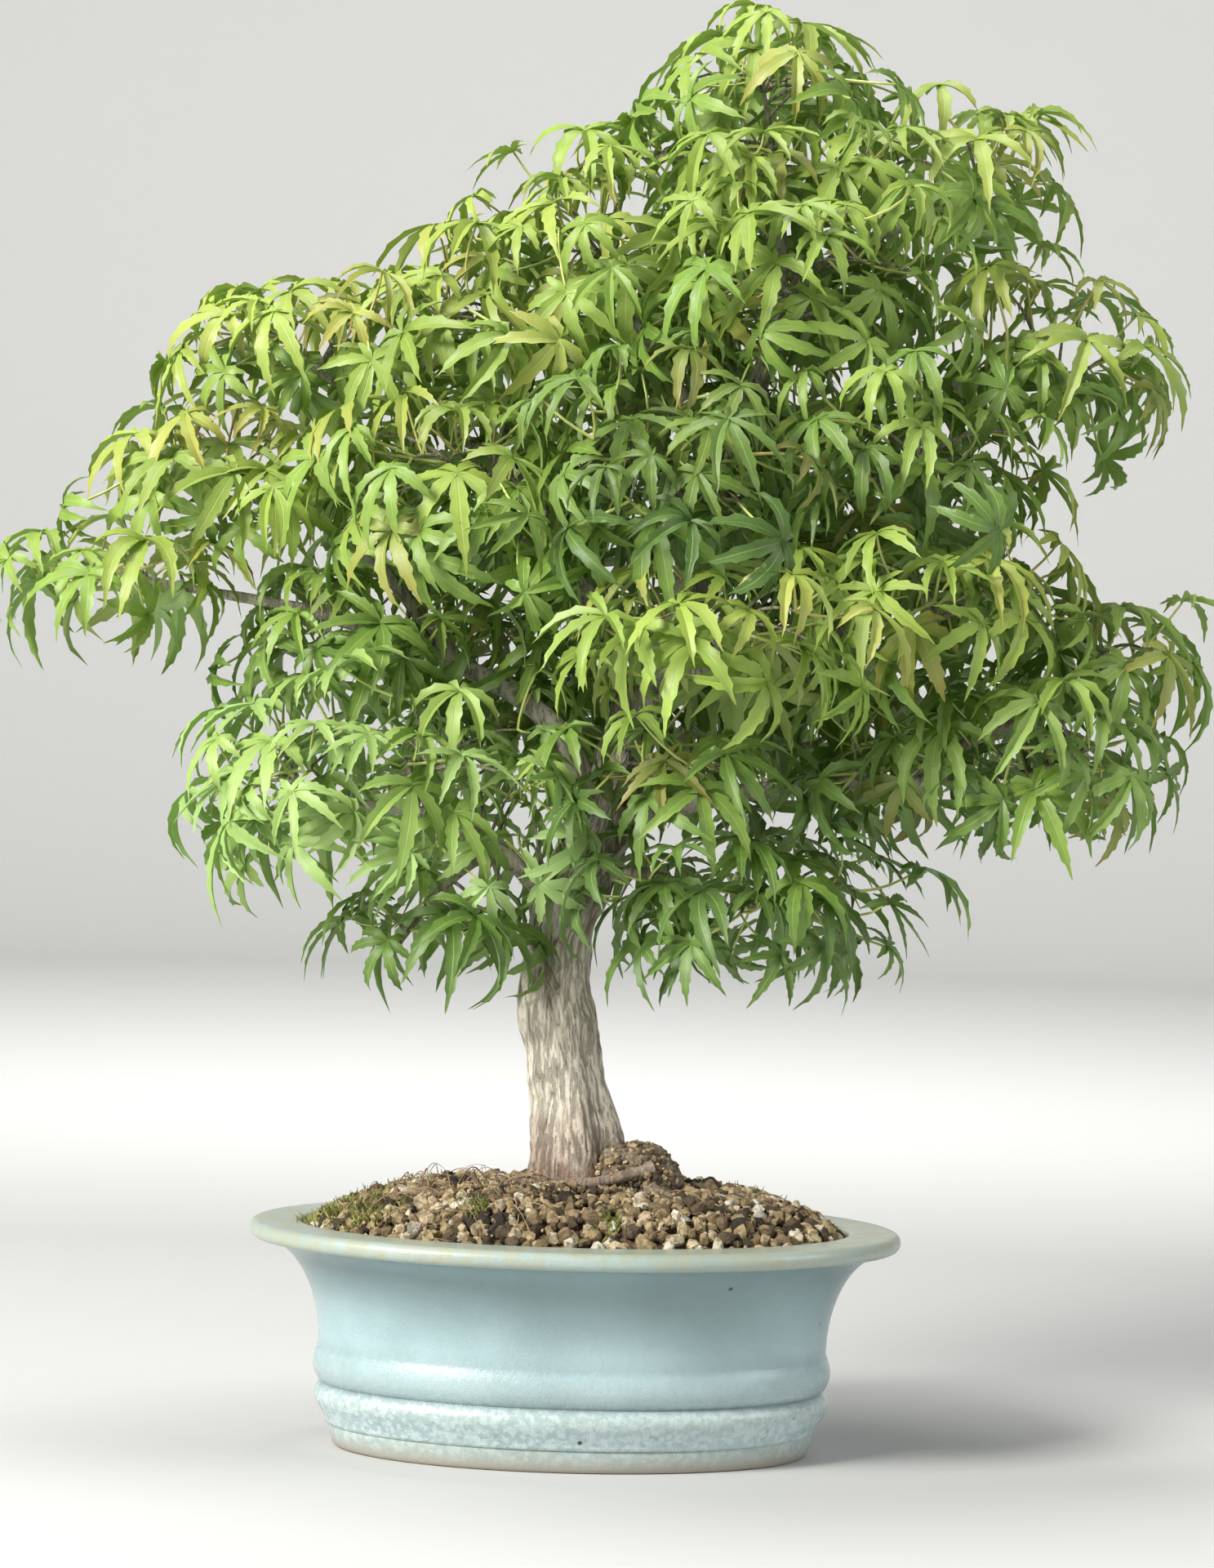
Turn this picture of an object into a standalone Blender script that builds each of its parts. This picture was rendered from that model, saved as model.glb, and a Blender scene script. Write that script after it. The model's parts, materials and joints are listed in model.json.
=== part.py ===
"""A dwarf palmate maple grown as a bonsai, standing in its oval glazed pot.

Lengths are in metres and +Z is up. The origin is the middle of the plane that the pot's foot
stands on, X runs along the pot's long axis, and -Y is the front of the tree.
"""

import math
import random

import bmesh
import bpy
import numpy as np
from mathutils import Vector
from mathutils.bvhtree import BVHTree

GAP = 0.0003

# Pot: an oval whose every level is the rim's oval drawn in by an inset
RIM_HALF_LENGTH = 0.1015
RIM_HALF_WIDTH = 0.0715
POT_HEIGHT = 0.0700
POT_SIDES = 36
FOOT_INSET = 0.0277
FOOT_HEIGHT = 0.0075
FOOT_TOP_INSET = 0.0253
FOOT_RING_WIDTH = 0.0080
FOOT_RECESS = 0.0035
BAND_JOIN_HEIGHT = 0.0200
BAND_JOIN_INSET = 0.0236
LOWER_BAND_SWELL = 0.0027
UPPER_BAND_SWELL = 0.0021
NECK_HEIGHT = 0.0318
NECK_INSET = 0.0225
LIP_HEIGHT = 0.0647
LIP_INSET = 0.0022
LIP_ROUND = 0.0024
RIM_INNER_INSET = 0.0162
WALL = 0.0062
FLOOR_HEIGHT = 0.0092
FLOOR_INSET = 0.0310
DRAIN_RADIUS = 0.0080
DRAIN_X = 0.0330

# Drain screens and the wire staples that hold them
SCREEN_SIDE = 0.0240
SCREEN_THICKNESS = 0.0010
SCREEN_CELLS = 3
SCREEN_CELL = 0.0046
WIRE_RADIUS = 0.0006
STAPLE_SPAN = 0.0120
STAPLE_DROP = 0.0042
SCREEN_KNOT = 0.0024

# Soil
SOIL_EDGE_HEIGHT = 0.0665
SOIL_RISE = 0.0150
SOIL_RINGS = (0.90, 0.76, 0.60, 0.42, 0.20)
SOIL_GRAIN = 0.0009

# Trunk: centre, half width and height of each level, then the swelling at its foot
TRUNK_SIDES = 16
TRUNK = (
    ((0.0010, 0.0000, 0.0640), 0.0120),
    ((0.0010, 0.0000, 0.0800), 0.0158),
    ((0.0004, 0.0000, 0.0860), 0.0150),
    ((-0.0004, 0.0000, 0.0950), 0.0140),
    ((-0.0022, 0.0000, 0.1070), 0.0124),
    ((-0.0049, 0.0000, 0.1210), 0.0115),
    ((-0.0076, 0.0004, 0.1340), 0.0119),
    ((-0.0087, 0.0008, 0.1460), 0.0109),
    ((-0.0072, 0.0014, 0.1590), 0.0098),
    ((-0.0050, 0.0020, 0.1710), 0.0114),
    ((-0.0004, 0.0026, 0.1820), 0.0114),
    ((0.0042, 0.0044, 0.1970), 0.0092),
    ((0.0118, 0.0058, 0.2230), 0.0076),
    ((0.0228, 0.0060, 0.2540), 0.0066),
)
FLUTES = 5
FLUTE_DEPTH = 0.16
FLUTE_FADE_HEIGHT = 0.045
LUMP_CENTRE = (0.0170, -0.0050, 0.0835)
LUMP_HALF = (0.0155, 0.0140, 0.0132)
LUMP_ROUGHNESS = 0.10

# Surface roots: the line of each, from the trunk outwards, and its thick end's radius
ROOTS = (
    (((-0.0080, -0.0040, 0.0850), (-0.0230, -0.0080, 0.0815), (-0.0420, -0.0090, 0.0760)), 0.0032),
    (((-0.0040, -0.0090, 0.0840), (-0.0100, -0.0230, 0.0800), (-0.0190, -0.0380, 0.0725)), 0.0028),
    (((0.0160, -0.0120, 0.0860), (0.0300, -0.0230, 0.0800), (0.0440, -0.0310, 0.0720)), 0.0030),
    (((0.0040, 0.0090, 0.0850), (0.0130, 0.0220, 0.0800), (0.0240, 0.0380, 0.0720)), 0.0030),
    (((-0.0070, 0.0080, 0.0850), (-0.0200, 0.0200, 0.0800), (-0.0350, 0.0300, 0.0735)), 0.0028),
)

# Limbs: the line of each, from inside the wood that carries it outwards, and its thick end's radius
LIMBS = {
    "leader": (
        ((0.0215, 0.0060, 0.2500), (0.0360, 0.0040, 0.2900), (0.0490, 0.0000, 0.3300),
         (0.0560, 0.0000, 0.3650), (0.0520, 0.0000, 0.4060)),
        0.0056,
    ),
    "apex_left": (
        ((0.0540, 0.0000, 0.3880), (0.0250, 0.0000, 0.4010), (0.0060, 0.0000, 0.4030)),
        0.0018,
    ),
    "upper_right": (
        ((0.0550, 0.0000, 0.3580), (0.0800, 0.0020, 0.3770), (0.1050, 0.0040, 0.3870)),
        0.0028,
    ),
    "upper_left": (
        ((0.0400, 0.0030, 0.3040), (0.0230, 0.0000, 0.3340), (0.0060, 0.0000, 0.3580)),
        0.0032,
    ),
    "front_upper": (
        ((0.0440, 0.0010, 0.3160), (0.0520, -0.0180, 0.3380), (0.0600, -0.0340, 0.3500)),
        0.0030,
    ),
    "left_shoulder": (
        ((0.0190, 0.0060, 0.2440), (-0.0070, 0.0140, 0.2790), (-0.0330, 0.0140, 0.3090),
         (-0.0800, 0.0080, 0.3290)),
        0.0040,
    ),
    "long_left": (
        ((0.0020, 0.0050, 0.2020), (-0.0130, 0.0020, 0.2270), (-0.0450, 0.0080, 0.2450),
         (-0.0850, 0.0040, 0.2580), (-0.1270, 0.0000, 0.2650)),
        0.0046,
    ),
    "left_middle": (
        ((-0.0400, 0.0070, 0.2422), (-0.0740, 0.0060, 0.2800), (-0.1060, 0.0020, 0.2930)),
        0.0026,
    ),
    "front_left": (
        ((0.0210, 0.0050, 0.2480), (-0.0080, -0.0140, 0.2720), (-0.0380, -0.0260, 0.2880)),
        0.0034,
    ),
    "front_centre": (
        ((0.0360, 0.0040, 0.2870), (0.0280, -0.0220, 0.2950), (0.0220, -0.0420, 0.2960)),
        0.0030,
    ),
    "front_middle": (
        ((0.0170, 0.0050, 0.2360), (0.0240, -0.0220, 0.2440), (0.0360, -0.0500, 0.2480)),
        0.0034,
    ),
    "right_shoulder": (
        ((0.0420, 0.0020, 0.3100), (0.0700, 0.0020, 0.3250), (0.1030, 0.0040, 0.3340),
         (0.1320, 0.0050, 0.3360)),
        0.0038,
    ),
    "right_centre": (
        ((0.0370, 0.0030, 0.2930), (0.0620, -0.0120, 0.2990), (0.0880, -0.0220, 0.3010)),
        0.0032,
    ),
    "right_middle": (
        ((0.0150, 0.0060, 0.2310), (0.0440, -0.0180, 0.2480), (0.0780, -0.0300, 0.2570),
         (0.1030, -0.0350, 0.2600)),
        0.0038,
    ),
    "low_right": (
        ((0.0020, 0.0040, 0.1930), (0.0300, -0.0060, 0.2020), (0.0620, -0.0120, 0.2080),
         (0.0980, -0.0160, 0.2110), (0.1260, -0.0160, 0.2130)),
        0.0044,
    ),
    "low_left": (
        ((-0.0060, 0.0020, 0.1680), (-0.0240, -0.0060, 0.1840), (-0.0460, -0.0120, 0.1960),
         (-0.0740, -0.0120, 0.2000)),
        0.0042,
    ),
    "under_left": (
        ((-0.0290, -0.0080, 0.1870), (-0.0420, -0.0040, 0.1760), (-0.0500, -0.0040, 0.1660)),
        0.0020,
    ),
    "under_right": (
        ((0.0000, 0.0020, 0.1780), (0.0200, -0.0080, 0.1800), (0.0440, -0.0120, 0.1710)),
        0.0026,
    ),
    "heart": (((0.0170, 0.0000, 0.1975), (0.0210, -0.0130, 0.2050), (0.0240, -0.0250, 0.2090)), 0.0022),
    "right_flank": (
        ((0.0960, -0.0160, 0.2110), (0.1240, -0.0080, 0.2270), (0.1480, -0.0040, 0.2390)),
        0.0024,
    ),
    "back_low": (((0.0080, 0.0050, 0.2130), (0.0080, 0.0340, 0.2280), (0.0000, 0.0560, 0.2340)), 0.0034),
    "back_low_right": (
        ((0.0040, 0.0060, 0.2000), (0.0380, 0.0300, 0.2140), (0.0720, 0.0440, 0.2210)),
        0.0034,
    ),
    "back_left": (
        ((0.0210, 0.0060, 0.2490), (-0.0120, 0.0380, 0.2720), (-0.0460, 0.0540, 0.2840)),
        0.0036,
    ),
    "back_right": (
        ((0.0280, 0.0050, 0.2670), (0.0580, 0.0340, 0.2780), (0.0860, 0.0520, 0.2830)),
        0.0036,
    ),
    "back_upper": (
        ((0.0490, 0.0000, 0.3300), (0.0420, 0.0280, 0.3420), (0.0340, 0.0480, 0.3460)),
        0.0030,
    ),
}
LIMB_TIP_RADIUS = 0.0013
SEED = 11

# Pads of foliage: the limb that carries each, its centre and its half sizes
PADS = {
    "apex": ("leader", (0.0510, 0.0000, 0.4270), (0.0290, 0.0280, 0.0190)),
    "apex_left": ("apex_left", (-0.0060, 0.0000, 0.4060), (0.0040, 0.0040, 0.0030)),
    "crown_neck": ("leader", (0.0640, 0.0000, 0.3970), (0.0440, 0.0340, 0.0170)),
    "upper_right": ("upper_right", (0.1160, 0.0050, 0.4000), (0.0270, 0.0300, 0.0190)),
    "upper_left": ("upper_left", (0.0020, 0.0000, 0.3720), (0.0300, 0.0340, 0.0220)),
    "upper_centre": ("front_upper", (0.0610, -0.0150, 0.3640), (0.0350, 0.0400, 0.0250)),
    "left_slope": ("left_shoulder", (-0.0380, 0.0040, 0.3480), (0.0340, 0.0340, 0.0200)),
    "left_shoulder": ("left_shoulder", (-0.0830, 0.0080, 0.3430), (0.0440, 0.0340, 0.0190)),
    "left_middle": ("left_middle", (-0.1170, 0.0020, 0.3030), (0.0340, 0.0300, 0.0180)),
    "long_left": ("long_left", (-0.1465, 0.0000, 0.2690), (0.0310, 0.0260, 0.0150)),
    "left_low_centre": ("long_left", (-0.0700, 0.0050, 0.2550), (0.0380, 0.0300, 0.0200)),
    "front_left": ("front_left", (-0.0420, -0.0250, 0.2960), (0.0350, 0.0380, 0.0300)),
    "front_centre": ("front_centre", (0.0220, -0.0440, 0.3000), (0.0310, 0.0340, 0.0270)),
    "front_middle": ("front_middle", (0.0380, -0.0590, 0.2540), (0.0290, 0.0300, 0.0190)),
    "right_shoulder": ("right_shoulder", (0.1410, 0.0050, 0.3430), (0.0320, 0.0320, 0.0240)),
    "right_centre": ("right_centre", (0.0900, -0.0200, 0.3070), (0.0350, 0.0360, 0.0220)),
    "right_middle": ("right_middle", (0.1070, -0.0350, 0.2660), (0.0310, 0.0320, 0.0190)),
    "low_right": ("low_right", (0.1310, -0.0150, 0.2210), (0.0440, 0.0380, 0.0240)),
    "right_flank": ("right_flank", (0.1535, -0.0040, 0.2510), (0.0260, 0.0320, 0.0180)),
    "heart": ("heart", (0.0260, -0.0240, 0.2120), (0.0240, 0.0240, 0.0150)),
    "low_left": ("low_left", (-0.0700, -0.0120, 0.2060), (0.0470, 0.0380, 0.0290)),
    "under_left": ("under_left", (-0.0500, -0.0050, 0.1650), (0.0230, 0.0240, 0.0150)),
    "under_right": ("under_right", (0.0500, -0.0120, 0.1700), (0.0370, 0.0300, 0.0200)),
    "back_low": ("back_low", (0.0000, 0.0540, 0.2380), (0.0340, 0.0300, 0.0200)),
    "back_low_right": ("back_low_right", (0.0750, 0.0480, 0.2260), (0.0340, 0.0300, 0.0200)),
    "back_left": ("back_left", (-0.0500, 0.0530, 0.2900), (0.0380, 0.0340, 0.0240)),
    "back_right": ("back_right", (0.0880, 0.0510, 0.2880), (0.0400, 0.0340, 0.0240)),
    "back_upper": ("back_upper", (0.0340, 0.0500, 0.3500), (0.0340, 0.0320, 0.0220)),
}
PAD_SAMPLES = 160
PAD_LOWEST = -0.55
PAD_INSIDE = 0.82
HUB_SPACING = 0.0300

# Leafy twigs: each carries a bunch of neighbouring leaves
BUNCH = 4
BUNCH_REACH = 0.060
TWIG_RADIUS = 0.0009
TWIG_TIP_RADIUS = 0.0007
TWIG_SHORT = 0.014
TWIG_BOW = 0.16
TWIG_TRIES = 30

# Leaves: the angle of each lobe from the middle one, and its length as a share of that one's
LOBES = ((-92, 0.66), (-45, 0.92), (0, 1.0), (45, 0.92), (92, 0.66))
LOBE_HALF_WIDTH = 0.090
LOBE_WIDEST = 0.44
SINUS_REACH = 0.17
BASE_REACH = 0.12
BASE_SPREAD = 38
NOTCH_REACH = 0.05
BLADE_HALF_THICKNESS = 0.00055
BLADE_SIZE = (0.030, 0.037)
STALK_RADIUS = 0.0005
STALK_COLLAR = 1.5
LEAF_TRIES = 36
LEAF_CLEARANCE = 0.0005
LEAF_REACH = 0.080

GLAZE = ("pale_glaze", (0.50, 0.62, 0.62), 0.28, 0.0)
SOIL = ("soil_grains", (0.28, 0.20, 0.12), 0.95, 0.0)
BARK = ("maple_bark", (0.47, 0.40, 0.31), 0.90, 0.0)
MESH_PLASTIC = ("screen_plastic", (0.03, 0.03, 0.03), 0.55, 0.0)
WIRE = ("aluminium_wire", (0.50, 0.45, 0.40), 0.40, 1.0)
LEAF_GREEN = ("leaf_green", (0.16, 0.33, 0.05), 0.50, 0.0)
LEAF_LIME = ("leaf_lime", (0.36, 0.52, 0.09), 0.50, 0.0)
LEAF_TAN = ("leaf_tan", (0.52, 0.40, 0.13), 0.50, 0.0)
LEAF_FINISH = {
    "apex": LEAF_LIME,
    "crown_neck": LEAF_LIME,
    "left_slope": LEAF_LIME,
    "upper_right": LEAF_LIME,
    "upper_left": LEAF_LIME,
    "upper_centre": LEAF_LIME,
    "left_shoulder": LEAF_TAN,
    "left_middle": LEAF_TAN,
    "long_left": LEAF_LIME,
    "front_middle": LEAF_LIME,
    "right_middle": LEAF_LIME,
    "low_left": LEAF_LIME,
}


def clear_scene():
    """Remove every object that the file opened with."""
    for item in list(bpy.data.objects):
        bpy.data.objects.remove(item, do_unlink=True)


def collection(name):
    """A new collection under the scene's own."""
    made = bpy.data.collections.new(name)
    bpy.context.scene.collection.children.link(made)
    return made


def finish(spec):
    """The Principled material that a (name, colour, roughness, metallic) finish describes."""
    name, colour, roughness, metallic = spec
    found = bpy.data.materials.get(name)
    if found:
        return found
    made = bpy.data.materials.new(name)
    made.use_nodes = True
    shader = made.node_tree.nodes["Principled BSDF"]
    shader.inputs["Base Color"].default_value = (*colour, 1.0)
    shader.inputs["Roughness"].default_value = roughness
    shader.inputs["Metallic"].default_value = metallic
    return made


def move_to(item, home):
    """Take an object out of the collections it was made in and put it in its own."""
    for group in list(item.users_collection):
        group.objects.unlink(item)
    home.objects.link(item)


def add_object(name, mesh, home, spec=None):
    """An object for a mesh, in a collection, with its finish."""
    made = bpy.data.objects.new(name, mesh)
    home.objects.link(made)
    if spec:
        mesh.materials.clear()
        mesh.materials.append(finish(spec))
    return made


def mesh_of(name, points, faces):
    """A mesh from points and faces, with its faces turned outwards."""
    mesh = bpy.data.meshes.new(name)
    mesh.from_pydata([tuple(p) for p in points], [], faces)
    shape = bmesh.new()
    shape.from_mesh(mesh)
    bmesh.ops.recalc_face_normals(shape, faces=shape.faces)
    shape.to_mesh(mesh)
    shape.free()
    return mesh


def split_faces(mesh):
    """Split a mesh's faces into triangles, so that a grown copy of it is split alike."""
    shape = bmesh.new()
    shape.from_mesh(mesh)
    bmesh.ops.triangulate(shape, faces=shape.faces, quad_method="FIXED")
    shape.to_mesh(mesh)
    shape.free()


def loft(name, rings):
    """A closed mesh through rings of equally many points, with a flat face on each end."""
    sides = len(rings[0])
    points = [p for ring in rings for p in ring]
    faces = [tuple(range(sides)), tuple(range(len(points) - sides, len(points)))]
    for level in range(len(rings) - 1):
        for side in range(sides):
            a = level * sides + side
            b = level * sides + (side + 1) % sides
            faces += [(a, b, b + sides), (a, b + sides, a + sides)]
    return mesh_of(name, points, faces)


def smooth_round(item, angle=35):
    """Shade an object smooth, with edges sharper than angle left sharp."""
    item.data.shade_smooth()
    item.data.set_sharp_from_angle(angle=math.radians(angle))


def evaluated_copy(name, item, home):
    """A mesh object of what an object evaluates to, its caps welded, in place of that object."""
    bpy.context.view_layer.update()
    graph = bpy.context.evaluated_depsgraph_get()
    mesh = bpy.data.meshes.new_from_object(item.evaluated_get(graph))
    shape = bmesh.new()
    shape.from_mesh(mesh)
    bmesh.ops.remove_doubles(shape, verts=shape.verts, dist=0.000001)
    bmesh.ops.recalc_face_normals(shape, faces=shape.faces)
    shape.to_mesh(mesh)
    shape.free()
    place = item.matrix_world.copy()
    bpy.data.objects.remove(item, do_unlink=True)
    made = bpy.data.objects.new(name, mesh)
    made.matrix_world = place
    home.objects.link(made)
    return made


def taper_tube(name, points, radii, home, resolution=1):
    """A mesh tube along points, with its own radius at each one and flat caps."""
    curve = bpy.data.curves.new(name, "CURVE")
    curve.dimensions = "3D"
    curve.bevel_depth = 1.0
    curve.bevel_resolution = resolution
    curve.use_fill_caps = True
    spline = curve.splines.new("POLY")
    spline.points.add(len(points) - 1)
    for knot, place, radius in zip(spline.points, points, radii):
        knot.co = (*place, 1.0)
        knot.radius = radius
    item = bpy.data.objects.new(name, curve)
    home.objects.link(item)
    return evaluated_copy(name, item, home)


def boolean(item, others, operation):
    """Apply one Boolean between an object and a collection of others to the object's mesh."""
    cut = item.modifiers.new(operation.lower(), "BOOLEAN")
    cut.operation = operation
    cut.operand_type = "COLLECTION"
    cut.collection = others
    cut.solver = "EXACT"
    bpy.context.view_layer.update()
    graph = bpy.context.evaluated_depsgraph_get()
    mesh = bpy.data.meshes.new_from_object(item.evaluated_get(graph))
    item.modifiers.clear()
    item.data = mesh


def empty_out(group):
    """Remove a collection and the objects in it."""
    for item in list(group.objects):
        bpy.data.objects.remove(item, do_unlink=True)
    bpy.data.collections.remove(group)


def keep_largest_body(item):
    """Drop loose scraps from a mesh, keeping the connected body with the most faces."""
    shape = bmesh.new()
    shape.from_mesh(item.data)
    shape.verts.ensure_lookup_table()
    seen = set()
    bodies = []
    for start in shape.verts:
        if start.index in seen:
            continue
        body = {start}
        edge_of_body = [start]
        while edge_of_body:
            vert = edge_of_body.pop()
            for edge in vert.link_edges:
                other = edge.other_vert(vert)
                if other not in body:
                    body.add(other)
                    edge_of_body.append(other)
        seen.update(vert.index for vert in body)
        bodies.append(body)
    bodies.sort(key=len, reverse=True)
    for body in bodies[1:]:
        bmesh.ops.delete(shape, geom=list(body), context="VERTS")
    shape.to_mesh(item.data)
    shape.free()


def hide_cutter(item):
    """Mark an object as a cutter, which is not part of the model."""
    item.hide_render = True
    item.display_type = "WIRE"


# Pot and soil


def oval(inset, height, sides=POT_SIDES):
    """One level of the pot: the rim's oval drawn in by an inset."""
    turn = [math.tau * i / sides for i in range(sides)]
    length, width = RIM_HALF_LENGTH - inset, RIM_HALF_WIDTH - inset
    return [(length * math.cos(a), width * math.sin(a), height) for a in turn]


def rolled_band(low, high, swell, steps):
    """Levels of a rolled band that swells out between two (inset, height) grooves."""
    levels = []
    for step in range(1, steps + 1):
        t = step / (steps + 1)
        inset = low[0] + (high[0] - low[0]) * t - swell * math.sin(math.pi * t)
        levels.append((inset, low[1] + (high[1] - low[1]) * t))
    return levels


def outer_wall():
    """(inset, height) levels of the pot's outside, from the foot to the underside of its lip."""
    foot_top = (FOOT_TOP_INSET, FOOT_HEIGHT)
    join = (BAND_JOIN_INSET, BAND_JOIN_HEIGHT)
    neck = (NECK_INSET, NECK_HEIGHT)
    levels = [(FOOT_INSET, 0.0), foot_top]
    levels += rolled_band(foot_top, join, LOWER_BAND_SWELL, 3) + [join]
    levels += rolled_band(join, neck, UPPER_BAND_SWELL, 2) + [neck]
    for turn in (25, 50, 70, 85):
        out = (NECK_INSET - LIP_INSET) * (1 - math.cos(math.radians(turn)))
        up = (LIP_HEIGHT - NECK_HEIGHT) * math.sin(math.radians(turn))
        levels.append((NECK_INSET - out, NECK_HEIGHT + up))
    return levels


def rim_levels():
    """(inset, height) levels round the lip's edge, over its top and down to its inner corner."""
    middle = (LIP_HEIGHT + POT_HEIGHT) / 2
    half = (POT_HEIGHT - LIP_HEIGHT) / 2
    levels = []
    for turn in (-60, -10, 40, 80):
        out = LIP_ROUND * (1 - math.cos(math.radians(turn)))
        levels.append((out, middle + half * math.sin(math.radians(turn))))
    levels.append((RIM_INNER_INSET - 0.0015, POT_HEIGHT))
    levels.append((RIM_INNER_INSET, POT_HEIGHT - 0.0010))
    return levels


def inner_wall():
    """(inset, height) levels of the pot's inside, from below the rim down to its floor."""
    return [
        (RIM_INNER_INSET + 0.0036, POT_HEIGHT - 0.0110),
        (NECK_INSET + WALL - 0.0028, POT_HEIGHT - 0.0240),
        (NECK_INSET + WALL, NECK_HEIGHT),
        (FLOOR_INSET, FLOOR_HEIGHT),
    ]


def make_pot(home, cutters):
    """The glazed pot: a foot ring, two rolled bands, a flared wall and a broad flat lip."""
    levels = [(FOOT_INSET + FOOT_RING_WIDTH, FOOT_RECESS), (FOOT_INSET + FOOT_RING_WIDTH, 0.0)]
    levels += outer_wall() + rim_levels() + inner_wall()
    pot = add_object("pot", loft("pot", [oval(*level) for level in levels]), home, GLAZE)
    for side in (-1, 1):
        bpy.ops.mesh.primitive_cylinder_add(
            vertices=16, radius=DRAIN_RADIUS, depth=0.03, location=(side * DRAIN_X, 0, 0.006)
        )
        cutter = bpy.context.object
        cutter.name = f"drain_cutter_{'left' if side < 0 else 'right'}"
        move_to(cutter, cutters)
        hide_cutter(cutter)
        hole = pot.modifiers.new(cutter.name, "BOOLEAN")
        hole.operation = "DIFFERENCE"
        hole.object = cutter
        hole.solver = "EXACT"
    smooth_round(pot)


def make_screens(home):
    """A square of plastic mesh over each drain hole, held by a bent wire staple."""
    for side, label in ((-1, "left"), (1, "right")):
        middle = side * DRAIN_X
        bottom = FLOOR_HEIGHT + GAP
        bpy.ops.mesh.primitive_cube_add(size=1, location=(middle, 0, bottom + SCREEN_THICKNESS / 2))
        screen = bpy.context.object
        screen.name = f"drain_screen_{label}"
        screen.scale = (SCREEN_SIDE, SCREEN_SIDE, SCREEN_THICKNESS)
        move_to(screen, home)
        screen.data.materials.append(finish(MESH_PLASTIC))
        holes = collection(f"screen_holes_{label}")
        pitch = SCREEN_SIDE / (SCREEN_CELLS + 0.5)
        for column in range(SCREEN_CELLS):
            for row in range(SCREEN_CELLS):
                x = middle + (column - (SCREEN_CELLS - 1) / 2) * pitch
                y = (row - (SCREEN_CELLS - 1) / 2) * pitch
                bpy.ops.mesh.primitive_cube_add(size=SCREEN_CELL, location=(x, y, bottom))
                cell = bpy.context.object
                move_to(cell, holes)
        boolean(screen, holes, "DIFFERENCE")
        empty_out(holes)
        make_staple(home, label, middle, bottom + SCREEN_THICKNESS)


def make_staple(home, label, middle, screen_top):
    """A wire bow across a screen, whose two legs go down through its outer cells and the hole."""
    top = screen_top + GAP + WIRE_RADIUS
    half = STAPLE_SPAN / 2
    foot = screen_top - SCREEN_THICKNESS - STAPLE_DROP
    line = [
        (middle - half, 0.0, foot),
        (middle - half, 0.0, top - 0.0008),
        (middle - half + 0.0008, 0.0, top),
        (middle - SCREEN_KNOT, 0.0, top),
        (middle, 0.0, top + 0.0012),
        (middle + SCREEN_KNOT, 0.0, top),
        (middle + half - 0.0008, 0.0, top),
        (middle + half, 0.0, top - 0.0008),
        (middle + half, 0.0, foot),
    ]
    name = f"screen_staple_{label}"
    staple = taper_tube(name, line, [WIRE_RADIUS] * len(line), home, 0)
    staple.data.materials.append(finish(WIRE))


def soil_height(share):
    """Height of the soil at a share of the way from the middle out to the pot's wall."""
    return SOIL_EDGE_HEIGHT + SOIL_RISE * (1 - share**4)


def make_soil(home, stump):
    """The soil mass: it fills the pot, rises to the trunk and has a coarse grainy top."""
    rng = random.Random(SEED)
    wall = inner_wall()
    floor_rise = SCREEN_THICKNESS + 2 * GAP + 2 * WIRE_RADIUS + 0.0016
    rings = [oval(wall[3][0] + GAP, FLOOR_HEIGHT + floor_rise)]
    rings += [oval(inset + GAP, height) for inset, height in reversed(wall[:3])]
    edge_inset = RIM_INNER_INSET + 0.0036 * 0.3 + 2 * GAP
    rings.append(oval(edge_inset, SOIL_EDGE_HEIGHT))
    edge = np.array(rings[-1])
    for share in SOIL_RINGS:
        ring = edge * (share, share, 1.0)
        ring[:, 2] = soil_height(share)
        ring[:, 2] += [rng.uniform(-SOIL_GRAIN, SOIL_GRAIN) for _ in ring]
        ring[:, :2] *= np.array([[rng.uniform(0.97, 1.03)] for _ in ring])
        rings.append([tuple(p) for p in ring])
    soil = add_object("soil", loft("soil", rings), home, SOIL)
    boolean(soil, stump, "DIFFERENCE")
    keep_largest_body(soil)


# Trunk, roots and limbs


def trunk_ring(centre, half_width, grow):
    """One level of the trunk: an oval, fluted towards the roots."""
    above = max(centre[2] - SOIL_EDGE_HEIGHT, 0.0)
    flute = FLUTE_DEPTH * math.exp(-above / FLUTE_FADE_HEIGHT)
    ring = []
    for i in range(TRUNK_SIDES):
        turn = math.tau * i / TRUNK_SIDES
        wave = 1 + flute * math.cos(FLUTES * turn + 0.9) + 0.03 * math.cos(2 * turn - 0.6)
        reach = half_width * wave + grow
        ring.append((centre[0] + reach * math.cos(turn), centre[1] + reach * math.sin(turn), centre[2]))
    return ring


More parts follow.
